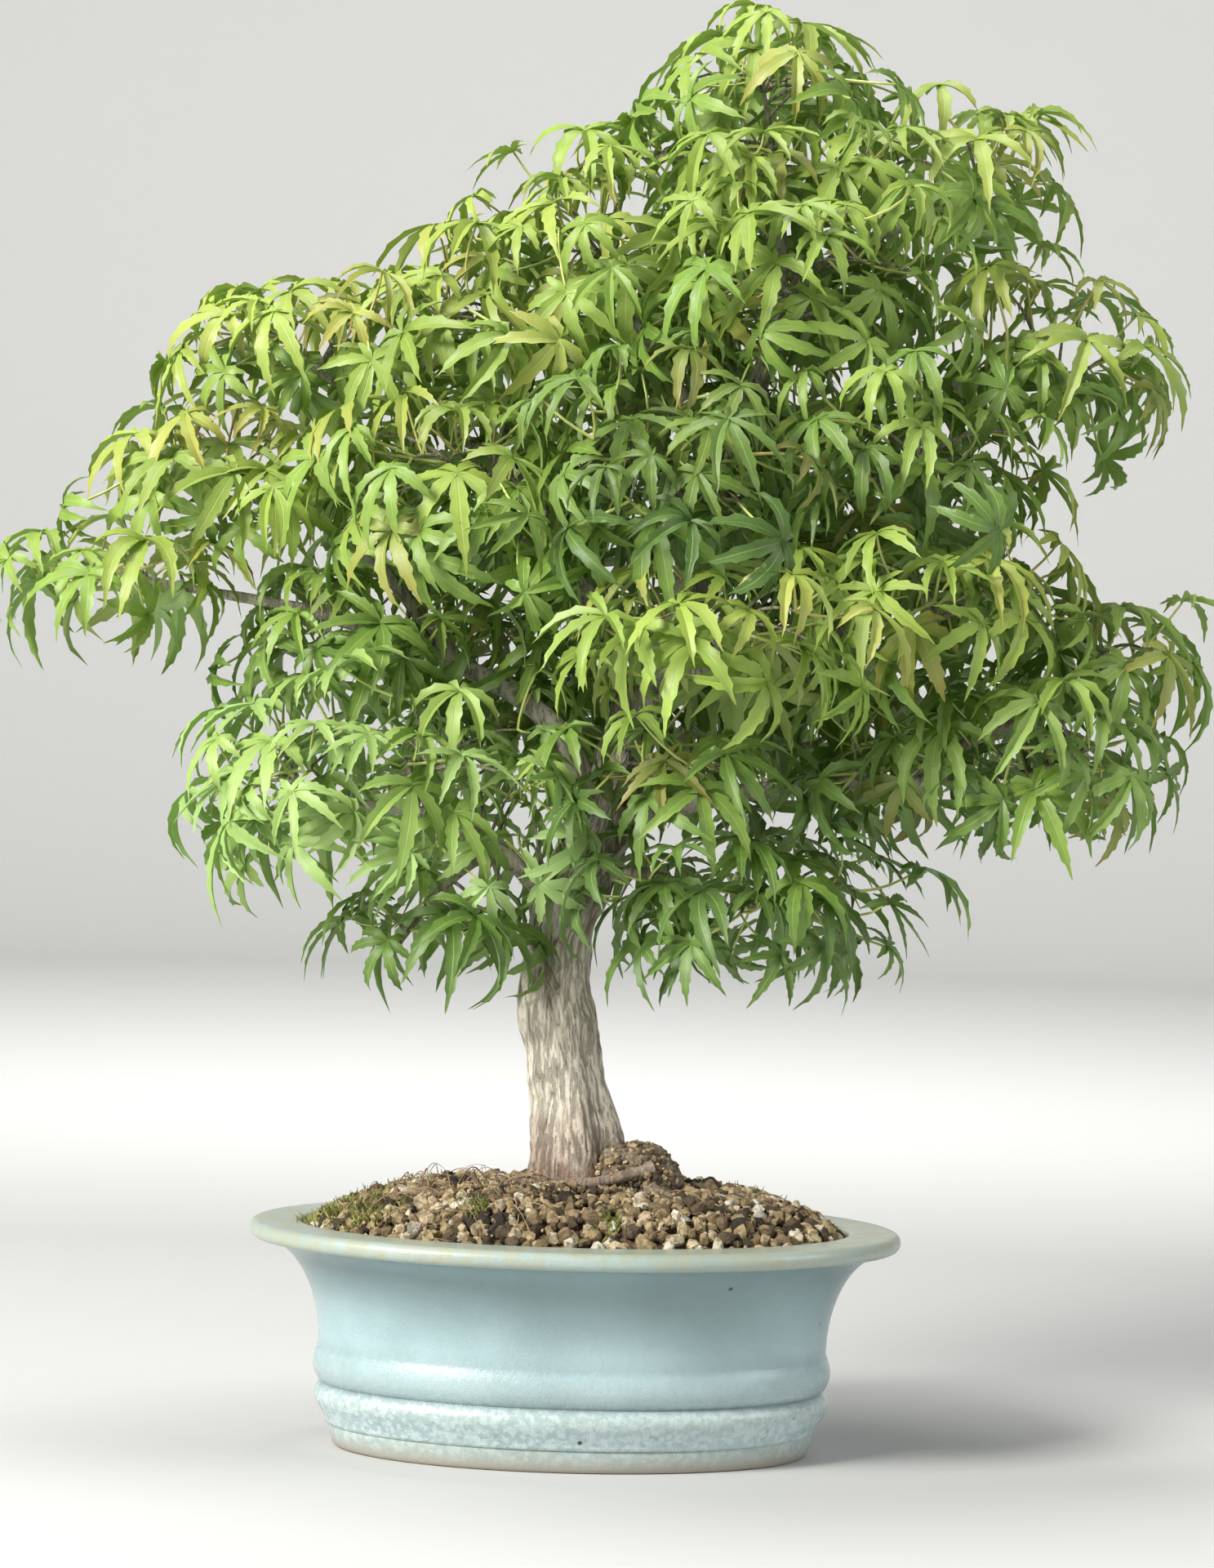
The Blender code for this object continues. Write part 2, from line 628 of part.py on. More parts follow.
def make_stump(name, home, grow):
    """Trunk, root lump and surface roots as separate closed meshes, each grown outwards by grow."""
    rings = [trunk_ring(centre, half, grow) for centre, half in TRUNK]
    rings[0] = [(x, y, z - grow) for x, y, z in rings[0]]
    trunk = add_object(f"{name}_trunk", loft(f"{name}_trunk", rings), home)
    bpy.ops.mesh.primitive_uv_sphere_add(segments=12, ring_count=8, radius=1, location=LUMP_CENTRE)
    lump = bpy.context.object
    lump.name = f"{name}_lump"
    rng = random.Random(SEED)
    for vert in lump.data.vertices:
        swell = 1 + rng.uniform(-LUMP_ROUGHNESS, LUMP_ROUGHNESS)
        vert.co = Vector(vert.co[i] * (LUMP_HALF[i] * swell + grow) for i in range(3))
    split_faces(lump.data)
    move_to(lump, home)
    for index, (line, radius) in enumerate(ROOTS):
        radii = [radius + grow, radius * 0.72 + grow, radius * 0.40 + grow]
        tip = Vector(line[-1]) + grow * (Vector(line[-1]) - Vector(line[-2])).normalized()
        root = taper_tube(f"{name}_root_{index}", (*line[:-1], tip), radii, home)
        split_faces(root.data)
    return trunk


def limb_radii(line, thick):
    """Radius at each point of a limb, thinning evenly to its tip."""
    last = len(line) - 1
    return [thick + (LIMB_TIP_RADIUS - thick) * (i / last) ** 0.8 for i in range(last + 1)]


def make_tree(home):
    """The trunk with its roots and limbs, fused as the one piece of wood that it is."""
    parts = collection("tree_parts")
    tree = make_stump("tree", parts, 0.0)
    for name, (line, thick) in LIMBS.items():
        taper_tube(name, line, limb_radii(line, thick), parts)
    parts.objects.unlink(tree)
    home.objects.link(tree)
    boolean(tree, parts, "UNION")
    empty_out(parts)
    keep_largest_body(tree)
    tree.name = "trunk_and_branches"
    tree.data.materials.clear()
    tree.data.materials.append(finish(BARK))
    smooth_round(tree, 50)


# Layout of the leafy twigs


def unit(vector):
    """A numpy vector at length one."""
    return vector / np.linalg.norm(vector)


def tube_shell(points, radii, sides=12):
    """Points and triangles of a plain tube, open at its ends, for clearance tests."""
    points = np.asarray(points, float)
    along = np.gradient(points, axis=0)
    shell = []
    for place, direction, radius in zip(points, along, radii):
        direction = unit(direction)
        lean = np.array((0.0, 0.0, 1.0)) if abs(direction[2]) < 0.9 else np.array((1.0, 0.0, 0.0))
        across = unit(np.cross(direction, lean))
        over = np.cross(direction, across)
        for i in range(sides):
            turn = math.tau * i / sides
            shell.append(place + radius * (math.cos(turn) * across + math.sin(turn) * over))
    faces = []
    for level in range(len(points) - 1):
        for i in range(sides):
            a, b = level * sides + i, level * sides + (i + 1) % sides
            faces += [(a, b, b + sides), (a, b + sides, a + sides)]
    return np.array(shell), faces


def search_tree(points, faces):
    """A search tree of triangles, for clearance tests."""
    return BVHTree.FromPolygons([tuple(p) for p in points], faces, all_triangles=True)


def point_along(line, share):
    """The point a share of the way along a line of points, and the line's direction there."""
    line = np.asarray(line, float)
    steps = np.linalg.norm(np.diff(line, axis=0), axis=1)
    reach = np.concatenate([[0.0], np.cumsum(steps)])
    want = share * reach[-1]
    span = min(int(np.searchsorted(reach, want, side="right")) - 1, len(steps) - 1)
    inside = (want - reach[span]) / steps[span]
    return line[span] + inside * (line[span + 1] - line[span]), unit(line[span + 1] - line[span])


def pad_hubs(spacing):
    """Leaf hubs spread evenly over the outside of the pads: for each pad, (place, outward) pairs."""
    rng = random.Random(SEED)
    golden = math.pi * (3 - math.sqrt(5))
    taken = []
    hubs = {}
    for name, (_, centre, half) in PADS.items():
        hubs[name] = []
        order = list(range(PAD_SAMPLES))
        rng.shuffle(order)
        for i in order:
            height = 1 - (1 - PAD_LOWEST) * (i + 0.5) / PAD_SAMPLES
            level = math.sqrt(1 - height * height)
            out = np.array((level * math.cos(golden * i), level * math.sin(golden * i), height))
            place = np.array(centre) + np.array(half) * out * rng.uniform(0.88, 1.0)
            if any(within_pad(place, other) for other in PADS if other != name):
                continue
            if any(np.linalg.norm(place - other) < spacing for other in taken):
                continue
            taken.append(place)
            hubs[name].append((place, unit(out / np.array(half))))
    return hubs


def within_pad(place, name):
    """Whether a point lies well inside a pad."""
    _, centre, half = PADS[name]
    offset = (place - np.array(centre)) / np.array(half)
    return float(offset @ offset) < PAD_INSIDE**2


def bunches(hubs):
    """A pad's hubs in bunches of neighbours, each for one twig to carry."""
    left = sorted(hubs, key=lambda hub: tuple(hub[0]))
    size = math.ceil(len(hubs) / math.ceil(len(hubs) / BUNCH)) if hubs else BUNCH
    while left:
        first = left.pop(0)
        left.sort(key=lambda hub: float(np.linalg.norm(hub[0] - first[0])))
        near = [hub for hub in left[: size - 1] if np.linalg.norm(hub[0] - first[0]) < BUNCH_REACH]
        yield [first, *near]
        left = sorted(left[len(near):], key=lambda hub: tuple(hub[0]))


def wood_trees():
    """Search trees of the trunk and every limb, a little enlarged."""
    trees = [search_tree(*tube_shell(line, [r + GAP for r in limb_radii(line, thick)]))
             for line, thick in LIMBS.values()]
    centres = [centre for centre, _ in TRUNK]
    trees.append(search_tree(*tube_shell(centres, [half + GAP for _, half in TRUNK])))
    return trees


def twig_to(bunch, limb, rng, loose):
    """Three points of a twig from a limb into a bunch of hubs, leaving square to the limb."""
    line, thick = LIMBS[limb]
    goal = np.mean([place - 0.012 * outward for place, outward in bunch], axis=0)
    goal = goal + np.array([rng.uniform(-loose, loose) for _ in range(3)])
    shares = np.linspace(0.42, 1.0, 16)
    reach = [float(np.linalg.norm(point_along(line, share)[0] - goal)) for share in shares]
    nearest = int(np.argmin(reach))
    pick = min(max(nearest + rng.randint(-2, 2) - 1, 0), len(shares) - 1)
    share = float(shares[pick])
    place, along = point_along(line, share)
    towards = unit(goal - place)
    if share == 1.0 and float(towards @ along) > 0.4:
        first, start = along, place + 2 * GAP * along
    else:
        first = unit(towards - along * float(towards @ along))
        radius = float(np.interp(share * (len(line) - 1), range(len(line)), limb_radii(line, thick)))
        start = place + (radius + 2 * GAP) * first
    if np.linalg.norm(goal - start) < TWIG_SHORT:
        goal = start + TWIG_SHORT * unit(goal - start + 0.002 * first)
    length = float(np.linalg.norm(goal - start))
    middle = start + 0.5 * (goal - start) + TWIG_BOW * length * first
    return np.array([start, middle, goal])


def lay_twigs(spacing, trees):
    """Every leafy twig, as (pad's name, its points, its hubs), clear of wood and other twigs."""
    twigs = []
    taken = []
    for index, (name, hubs) in enumerate(pad_hubs(spacing).items()):
        rng = random.Random(SEED * 100 + index)
        for bunch in bunches(hubs):
            for attempt in range(TWIG_TRIES):
                points = twig_to(bunch, PADS[name][0], rng, 0.001 + 0.0006 * attempt)
                tree = search_tree(*tube_shell(points, [TWIG_RADIUS] * 3))
                if not any(tree.overlap(other) for other in (*trees, *taken)):
                    twigs.append((name, points, bunch))
                    taken.append(tree)
                    break
    return twigs


def leaf_shape(base, hub, forward, normal, size, curl, half_thickness, stalk_radius):
    """Points and triangles of one leaf with its stalk, as a closed shape.

    The blade is a star of long lobes about the hub. Each lobe has a ridge from the hub over a
    middle point to its tip, and bends down by curl there. Both faces share the sharp outline.
    """
    across = np.cross(normal, forward)
    frame = np.array([forward, across, normal])
    points = []

    def add(x, y, z):
        points.append(hub + np.array((x, y, z)) @ frame)
        return len(points) - 1

    top = add(0, 0, half_thickness)
    ring = []
    collar = STALK_COLLAR * stalk_radius
    for turn in (0, 120, 240):
        angle = math.radians(turn)
        ring.append(add(collar * math.cos(angle), collar * math.sin(angle), -half_thickness))
    first, last = LOBES[0][0], LOBES[-1][0]
    between = [(a[0] + b[0]) / 2 for a, b in zip(LOBES, LOBES[1:])]
    gaps = [first - BASE_SPREAD, *between, last + BASE_SPREAD]
    reaches = [BASE_REACH] + [SINUS_REACH] * (len(LOBES) - 1) + [BASE_REACH]
    sinus = []
    for turn, reach in zip(gaps, reaches):
        angle = math.radians(turn)
        sinus.append(add(reach * size * math.cos(angle), reach * size * math.sin(angle), -0.01 * size))
    notch = add(-NOTCH_REACH * size, 0, 0)
    faces = [(top, sinus[-1], notch), (top, notch, sinus[0])]
    holders = []
    for number, (turn, share) in enumerate(LOBES):
        angle = math.radians(turn)
        length = share * size
        half = LOBE_HALF_WIDTH * size * (0.6 + 0.4 * share)
        rise, fall = math.radians(4), math.radians(curl)
        middle = 0.5 * length * math.cos(rise), 0.5 * length * math.sin(rise)
        tip = middle[0] + 0.5 * length * math.cos(fall), middle[1] - 0.5 * length * math.sin(fall)
        wide = LOBE_WIDEST * length
        dx, dy = math.cos(angle), math.sin(angle)
        ridge = add(middle[0] * dx, middle[0] * dy, middle[1] + half_thickness)
        keel = add(middle[0] * dx, middle[0] * dy, middle[1] - half_thickness)
        end = add(tip[0] * dx, tip[0] * dy, tip[1])
        right = add(wide * dx + half * dy, wide * dy - half * dx, middle[1] * 0.4)
        left = add(wide * dx - half * dy, wide * dy + half * dx, middle[1] * 0.4)
        before, after = sinus[number], sinus[number + 1]
        holder = ring[0] if abs(turn) < 60 else ring[1 if turn > 0 else 2]
        holders.append(holder)
        for hub_point, mid_point, flip in ((top, ridge, False), (holder, keel, True)):
            made = [
                (hub_point, before, mid_point),
                (before, right, mid_point),
                (right, end, mid_point),
                (hub_point, mid_point, after),
                (mid_point, left, after),
                (mid_point, end, left),
            ]
            faces += [face[::-1] if flip else face for face in made]
    for number in range(1, len(LOBES)):
        if holders[number - 1] != holders[number]:
            faces.append((sinus[number], holders[number], holders[number - 1]))
    faces.append((notch, ring[1], sinus[-1]))
    faces.append((sinus[0], ring[2], notch))
    faces.append((notch, ring[2], ring[1]))
    back = unit(base - hub)
    front = unit(np.cross(back, across))
    side = np.cross(front, back)
    foot = []
    for turn in (0, 120, 240):
        angle = math.radians(turn)
        points.append(base + stalk_radius * (math.cos(angle) * front + math.sin(angle) * side))
        foot.append(len(points) - 1)
    for a, b in ((0, 1), (1, 2), (2, 0)):
        faces += [(ring[a], foot[b], foot[a]), (ring[a], ring[b], foot[b])]
    faces.append((foot[0], foot[1], foot[2]))
    return np.array(points), faces


def leaf_pose(node, hub, outward, rng, loose):
    """One try at a leaf: leaf_shape's first arguments, or None where its stalk meets it badly."""
    up = np.array((0.0, 0.0, 1.0))
    jitter = np.array([rng.uniform(-loose, loose) for _ in range(3)])
    hub = hub + 0.008 * jitter
    level = np.array((outward[0], outward[1], 0.0)) + 1.2 * np.array((hub[0], hub[1], 0.0))
    heading = unit(level + 0.5 * np.array((jitter[1], jitter[2], 0.0)) + 1e-6)
    normal = unit(0.55 * outward + 0.75 * up + 0.25 * heading + 0.6 * jitter)
    forward = unit(heading - normal * float(heading @ normal))
    size = rng.uniform(*BLADE_SIZE)
    curl = rng.uniform(36, 64)
    if float(unit(node - hub) @ normal) > -0.35:
        return None
    return node, hub, forward, normal, size, curl


def lay_leaves(twigs, trees):
    """The leaves of every twig, as leaf_shape's first arguments, none crossing another piece."""
    twig_trees = [search_tree(*tube_shell(points, [TWIG_RADIUS + GAP] * 3)) for _, points, _ in twigs]
    placed = []
    sprays = []
    for index, (name, points, bunch) in enumerate(twigs):
        rng = random.Random(SEED * 1000 + index)
        leaves = []
        for hub, outward in bunch:
            shares = np.linspace(0.45, 0.97, 8)
            nodes = [point_along(points, share)[0] for share in shares]
            node = min(nodes, key=lambda place: abs(float(np.linalg.norm(place - hub)) - 0.016))
            for attempt in range(LEAF_TRIES):
                spec = leaf_pose(node, hub, outward, rng, 0.15 + 0.03 * attempt)
                if spec is None:
                    continue
                shell = leaf_shape(*spec, BLADE_HALF_THICKNESS + LEAF_CLEARANCE, STALK_RADIUS + GAP)
                tree = search_tree(*shell)
                near = [other for other in placed if np.linalg.norm(other[0] - spec[1]) < LEAF_REACH]
                clear = leaf_shape(
                    spec[1] + 0.6 * (node - spec[1]), *spec[1:], BLADE_HALF_THICKNESS, STALK_RADIUS
                )
                blade = search_tree(*clear)
                others = [other for i, other in enumerate(twig_trees) if i != index]
                if any(tree.overlap(other) for other in (*trees, *others)):
                    continue
                if any(tree.overlap(other[1]) for other in near if other[2] != index):
                    continue
                if any(blade.overlap(other[3]) for other in near if other[2] == index):
                    continue
                if blade.overlap(twig_trees[index]):
                    continue
                placed.append((spec[1], tree, index, blade))
                leaves.append(spec)
                break
        sprays.append((name, points, leaves))
    return sprays


def make_sprays(home):
    """One node for each leafy twig: the twig, its leaf stalks and its leaves, fused."""
    trees = wood_trees()
    counts = {}
    for name, points, leaves in lay_leaves(lay_twigs(HUB_SPACING, trees), trees):
        if not leaves:
            continue
        counts[name] = counts.get(name, 0) + 1
        label = f"spray_{name}_{counts[name]}"
        parts = collection(f"{label}_leaves")
        for number, spec in enumerate(leaves):
            shape = leaf_shape(*spec, BLADE_HALF_THICKNESS, STALK_RADIUS)
            add_object(f"{label}_leaf_{number}", mesh_of(label, *shape), parts)
        radii = (TWIG_RADIUS, (TWIG_RADIUS + TWIG_TIP_RADIUS) / 2, TWIG_TIP_RADIUS)
        spray = taper_tube(label, points, radii, home, 0)
        boolean(spray, parts, "UNION")
        empty_out(parts)
        keep_largest_body(spray)
        spray.data.materials.clear()
        spray.data.materials.append(finish(LEAF_FINISH.get(name, LEAF_GREEN)))


def main():
    clear_scene()
    home = collection("maple_bonsai")
    cutters = collection("cutters")
    make_pot(home, cutters)
    make_screens(home)
    hollow = collection("stump_hollow")
    make_stump("hollow", hollow, GAP)
    make_soil(home, hollow)
    empty_out(hollow)
    make_tree(home)
    make_sprays(home)


main()
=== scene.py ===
"""The looks of a dwarf palmate maple bonsai in its oval glazed pot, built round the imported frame.

Lengths are in metres in the frame's own axes: +Z is up, X runs along the pot's long axis and -Y
is the front of the tree. Each new piece has its place in its mesh and its object at the origin.
"""

import json
import logging
import math
import random
from dataclasses import dataclass, field
from enum import Enum
from functools import cache

import bpy
import numpy as np
from bpy.types import Material, Node, NodeSocket as Socket, NodeTree, Object
from mathutils import Matrix, Vector
from mathutils.bvhtree import BVHTree


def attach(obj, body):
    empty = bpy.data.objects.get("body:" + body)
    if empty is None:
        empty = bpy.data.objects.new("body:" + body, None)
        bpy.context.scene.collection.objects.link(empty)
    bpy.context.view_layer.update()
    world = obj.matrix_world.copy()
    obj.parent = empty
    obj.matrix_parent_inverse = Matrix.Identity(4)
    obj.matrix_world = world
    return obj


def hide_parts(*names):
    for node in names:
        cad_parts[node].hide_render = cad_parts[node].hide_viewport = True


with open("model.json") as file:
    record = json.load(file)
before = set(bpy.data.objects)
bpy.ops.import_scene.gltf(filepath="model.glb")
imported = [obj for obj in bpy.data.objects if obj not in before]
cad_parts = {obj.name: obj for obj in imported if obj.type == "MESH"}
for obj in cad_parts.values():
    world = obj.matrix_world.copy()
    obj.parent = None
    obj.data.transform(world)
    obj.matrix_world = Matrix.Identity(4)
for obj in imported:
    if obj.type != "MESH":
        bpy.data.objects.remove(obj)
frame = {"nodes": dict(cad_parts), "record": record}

Array = np.ndarray
Faces = list[Array] | tuple[Array, ...]
Point = tuple[float, float, float]
Colour = tuple[float, ...]
Line = tuple[Point, ...]

LOG = logging.getLogger("maple_bonsai")
BODY = "root"
SEED = 11
GAP = 0.0003
GOLDEN_ANGLE = math.pi * (3 - math.sqrt(5))
UP = np.array((0.0, 0.0, 1.0))


class Slot(Enum):
    """The record's names of the material slots of the new pieces."""

    GLAZE = "pot_glaze"
    SOIL = "soil"
    BARK = "bark"


class Detail(Enum):
    """How finely a leaf is built, as rings along a lobe: the less it shows, the fewer."""

    FINE = 12
    MIDDLE = 9
    PLAIN = 6


# Whole-array geometry


def unit(vectors: Array) -> Array:
    """Vectors, in the last axis, at length one."""
    return vectors / np.maximum(np.linalg.norm(vectors, axis=-1, keepdims=True), 1e-12)


def aimed(vector: Array) -> Array:
    """One vector at length one."""
    return vector / np.linalg.norm(vector)


def square_to(vectors: Array, directions: Array) -> Array:
    """The part of each vector that is square to a direction, at length one."""
    along = np.sum(vectors * directions, axis=-1, keepdims=True)
    return unit(vectors - along * directions)


def ripple(places: Array, pitch: float, seed: int, waves: int = 14) -> Array:
    """Smooth, even noise from -1 to 1: the mean of sine waves in random directions.

    Each wave is sin(k . p + phase), with k of length tau / pitch, give or take a third.

    Args:
        places: points in the last axis.
        pitch: the noise's mean wavelength.
        seed: the number that fixes the directions and phases.
        waves: how many waves are summed.

    Returns:
        One value for each point.
    """
    rng = np.random.default_rng(seed)
    directions = unit(rng.normal(size=(waves, places.shape[-1])))
    numbers = math.tau / pitch * rng.uniform(0.7, 1.35, size=(waves, 1))
    phases = rng.uniform(0, math.tau, size=waves)
    total = np.sin(places @ (directions * numbers).T + phases).sum(axis=-1)
    return np.clip(total / math.sqrt(waves), -1.6, 1.6) / 1.6


def smooth_line(points: Array, count: int) -> Array:
    """A smooth line through points, by Catmull-Rom: between two points it is the cubic whose
    slope at each is half the step from the point before to the point after.

    Args:
        points: the line's own points, one a row.
        count: how many points the result has.

    Returns:
        The smooth line's points, evenly spaced in the line's own measure.
    """
    points = np.asarray(points, float)
    padded = np.vstack([2 * points[0] - points[1], points, 2 * points[-1] - points[-2]])
    place = np.linspace(0, len(points) - 1, count)
    span = np.minimum(place.astype(int), len(points) - 2)
    t = (place - span)[:, None]
    before, start, end, after = (padded[span + i] for i in range(4))
    return 0.5 * (
        2 * start
        + (end - before) * t
        + (2 * before - 5 * start + 4 * end - after) * t**2
        + (3 * start - before - 3 * end + after) * t**3
    )


def bowed_lines(starts: Array, middles: Array, ends: Array, count: int) -> Array:
    """Parabolas, each through three points: start, middle and end at 0, 1/2 and 1.

    Args:
        starts: first points, one a row.
        middles: middle points, one a row.
        ends: last points, one a row.
        count: how many points each line has.

    Returns:
        An array of lines by points by 3.
    """
    t = np.linspace(0, 1, count)[None, :, None]
    return (
        starts[:, None] * (1 - t) * (1 - 2 * t)
        + middles[:, None] * 4 * t * (1 - t)
        + ends[:, None] * t * (2 * t - 1)
    )


def strip_faces(rings: int, sides: int) -> tuple[Array, Array]:
    """Faces of a closed tube: rings of points, then a pole at the start and one at the end.

    Args:
        rings: how many rings.
        sides: points in a ring, which run anticlockwise as seen against the tube's direction.

    Returns:
        The quads between rings and the triangles round the two poles, as point numbers.
    """
    level, side = np.meshgrid(np.arange(rings - 1), np.arange(sides), indexing="ij")
    a = level * sides + side
    b = level * sides + (side + 1) % sides
    quads = np.stack([a, b, b + sides, a + sides], axis=-1).reshape(-1, 4)
    first = np.arange(sides)
    last = (rings - 1) * sides + first
    start, end = rings * sides, rings * sides + 1
    caps = [
        np.stack([np.full(sides, start), (first + 1) % sides, first], axis=-1),
        np.stack([np.full(sides, end), last, (rings - 1) * sides + (first + 1) % sides], axis=-1),
    ]
    return quads, np.concatenate(caps)


def repeat_faces(faces: Array, copies: int, step: int) -> Array:
    """The faces of many like shapes whose points follow each other."""
    moved = faces[None] + (np.arange(copies) * step)[:, None, None]
    return moved.reshape(-1, faces.shape[1])


@dataclass
class Shell:
    """A piece in the making: parts are added as whole arrays and turned into one mesh."""

    points: list[Array] = field(default_factory=list)
    faces: list[Array] = field(default_factory=list)
    slots: list[Array] = field(default_factory=list)
    fields: list[dict[str, Array]] = field(default_factory=list)
    count: int = 0

    def add(self, points: Array, faces: Faces, slot: int = 0, **values: Array) -> None:
        """Add a part.

        Args:
            points: the part's points, one a row.
            faces: arrays of its quads or triangles, as numbers of its own points.
            slot: which of the piece's materials it has.
            values: a value for each point, by attribute name, for the materials to read.
        """
        for group in faces:
            self.faces.append(group + self.count)
            self.slots.append(np.full(len(group), slot))
        self.points.append(points)
        self.fields.append(values)
        self.count += len(points)

    def tubes(self, lines: Array, radii: Array, sides: int, slot: int = 0, **values: Array) -> None:
        """Add round tubes along lines: a ring at each point is the point plus radius times
        (cos a * across + sin a * over), with across and over square to the line.

        Args:
            lines: an array of lines by points by 3.
            radii: an array of lines by points.
            sides: how many sides each tube has.
            slot: which of the piece's materials they have.
            values: a value for each line, by attribute name.
        """
        count, rings = radii.shape
        along = unit(np.gradient(lines, axis=1))
        chord = unit(lines[:, -1] - lines[:, 0])
        lean = np.where(np.abs(chord[:, 2:]) < 0.9, UP, np.array((1.0, 0.0, 0.0)))
        across = square_to(np.broadcast_to(lean[:, None], lines.shape), along)
        over = np.cross(along, across)
        turn = turns(sides)
        circle = (
            np.cos(turn)[:, None] * across[:, :, None] + np.sin(turn)[:, None] * over[:, :, None]
        )
        ring = lines[:, :, None] + radii[:, :, None, None] * circle
        tips = np.stack([lines[:, 0] - along[:, 0] * radii[:, :1] * 0.4,
                         lines[:, -1] + along[:, -1] * radii[:, -1:] * 0.4], axis=1)
        points = np.concatenate([ring.reshape(count, -1, 3), tips], axis=1)
        step = points.shape[1]
        groups = [repeat_faces(group, count, step) for group in strip_faces(rings, sides)]
        spread = {name: np.repeat(value, step) for name, value in values.items()}
        self.add(points.reshape(-1, 3), groups, slot, **spread)

    def build(self, name: str, materials: list[Material], sharp: float) -> Object:
        """Turn the parts into one object.

        Args:
            name: the piece's name.
            materials: its materials, in the order of the parts' slots.
            sharp: edges that bend more than this many degrees stay sharp.

        Returns:
            The new object, at the origin.
        """
        points = np.concatenate(self.points)
        corners = np.concatenate([group.ravel() for group in self.faces])
        sizes = np.concatenate([np.full(len(group), group.shape[1]) for group in self.faces])
        starts = np.concatenate([[0], np.cumsum(sizes)[:-1]])
        mesh = bpy.data.meshes.new(name)
        mesh.vertices.add(len(points))
        mesh.vertices.foreach_set("co", points.astype(np.float32).ravel())
        mesh.loops.add(len(corners))
        mesh.loops.foreach_set("vertex_index", corners.astype(np.int32))
        mesh.polygons.add(len(sizes))
        mesh.polygons.foreach_set("loop_start", starts.astype(np.int32))
        mesh.polygons.foreach_set("material_index", np.concatenate(self.slots).astype(np.int32))
        names = sorted({key for values in self.fields for key in values})
        for key in names:
            whole = [
                values.get(key, np.zeros(len(part))) for values, part in zip(self.fields, self.points)
            ]
            layer = mesh.attributes.new(key, "FLOAT", "POINT")
            layer.data.foreach_set("value", np.concatenate(whole).astype(np.float32))
        mesh.update(calc_edges=True)
        mesh.validate()
        mesh.shade_smooth()
        mesh.set_sharp_from_angle(angle=math.radians(sharp))
        for material in materials:
            mesh.materials.append(material)
        made = bpy.data.objects.new(name, mesh)
        bpy.context.scene.collection.objects.link(made)
        return made


def turns(sides: int) -> Array:
    """The turns, in radians, of a ring's points."""
    return math.tau * np.arange(sides) / sides


def ovals(length: Array, width: Array, height: Array, sides: int) -> Array:
    """Level rings: at turn a each is (length cos a, width sin a, height).

    Args:
        length: each ring's half length.
        width: each ring's half width.
        height: each ring's height.
        sides: points in a ring.

    Returns:
        An array of rings by sides by 3.
    """
    x, y = np.outer(length, np.cos(turns(sides))), np.outer(width, np.sin(turns(sides)))
    return np.stack([x, y, np.broadcast_to(height[:, None], x.shape)], axis=-1)


def globe(rows: int, columns: int) -> tuple[Array, Faces]:
    """A ball of radius one: rings of points between two poles.

    Args:
        rows: how many rings.
        columns: points in a ring.

    Returns:
        Its points and its faces.
    """
    tilt = math.pi * np.arange(1, rows + 1) / (rows + 1)
    ring = ovals(np.sin(tilt), np.sin(tilt), -np.cos(tilt), columns)
    poles = np.array([(0, 0, -1.0), (0, 0, 1.0)])
    return np.concatenate([ring.reshape(-1, 3), poles]), strip_faces(rows, columns)


def settle(piece: Object, slot: str, *nodes: str) -> None:
    """Give a finished piece its body and hide the frame's nodes that it stands for.

    Args:
        piece: the finished piece.
        slot: not used.
        nodes: the frame's nodes that it replaces.
    """
    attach(piece, BODY)
    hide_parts(*nodes)
    LOG.info("%s: %d faces, for %s", piece.name, len(piece.data.polygons), ", ".join(nodes))


# Materials


Value = float | Colour | Socket


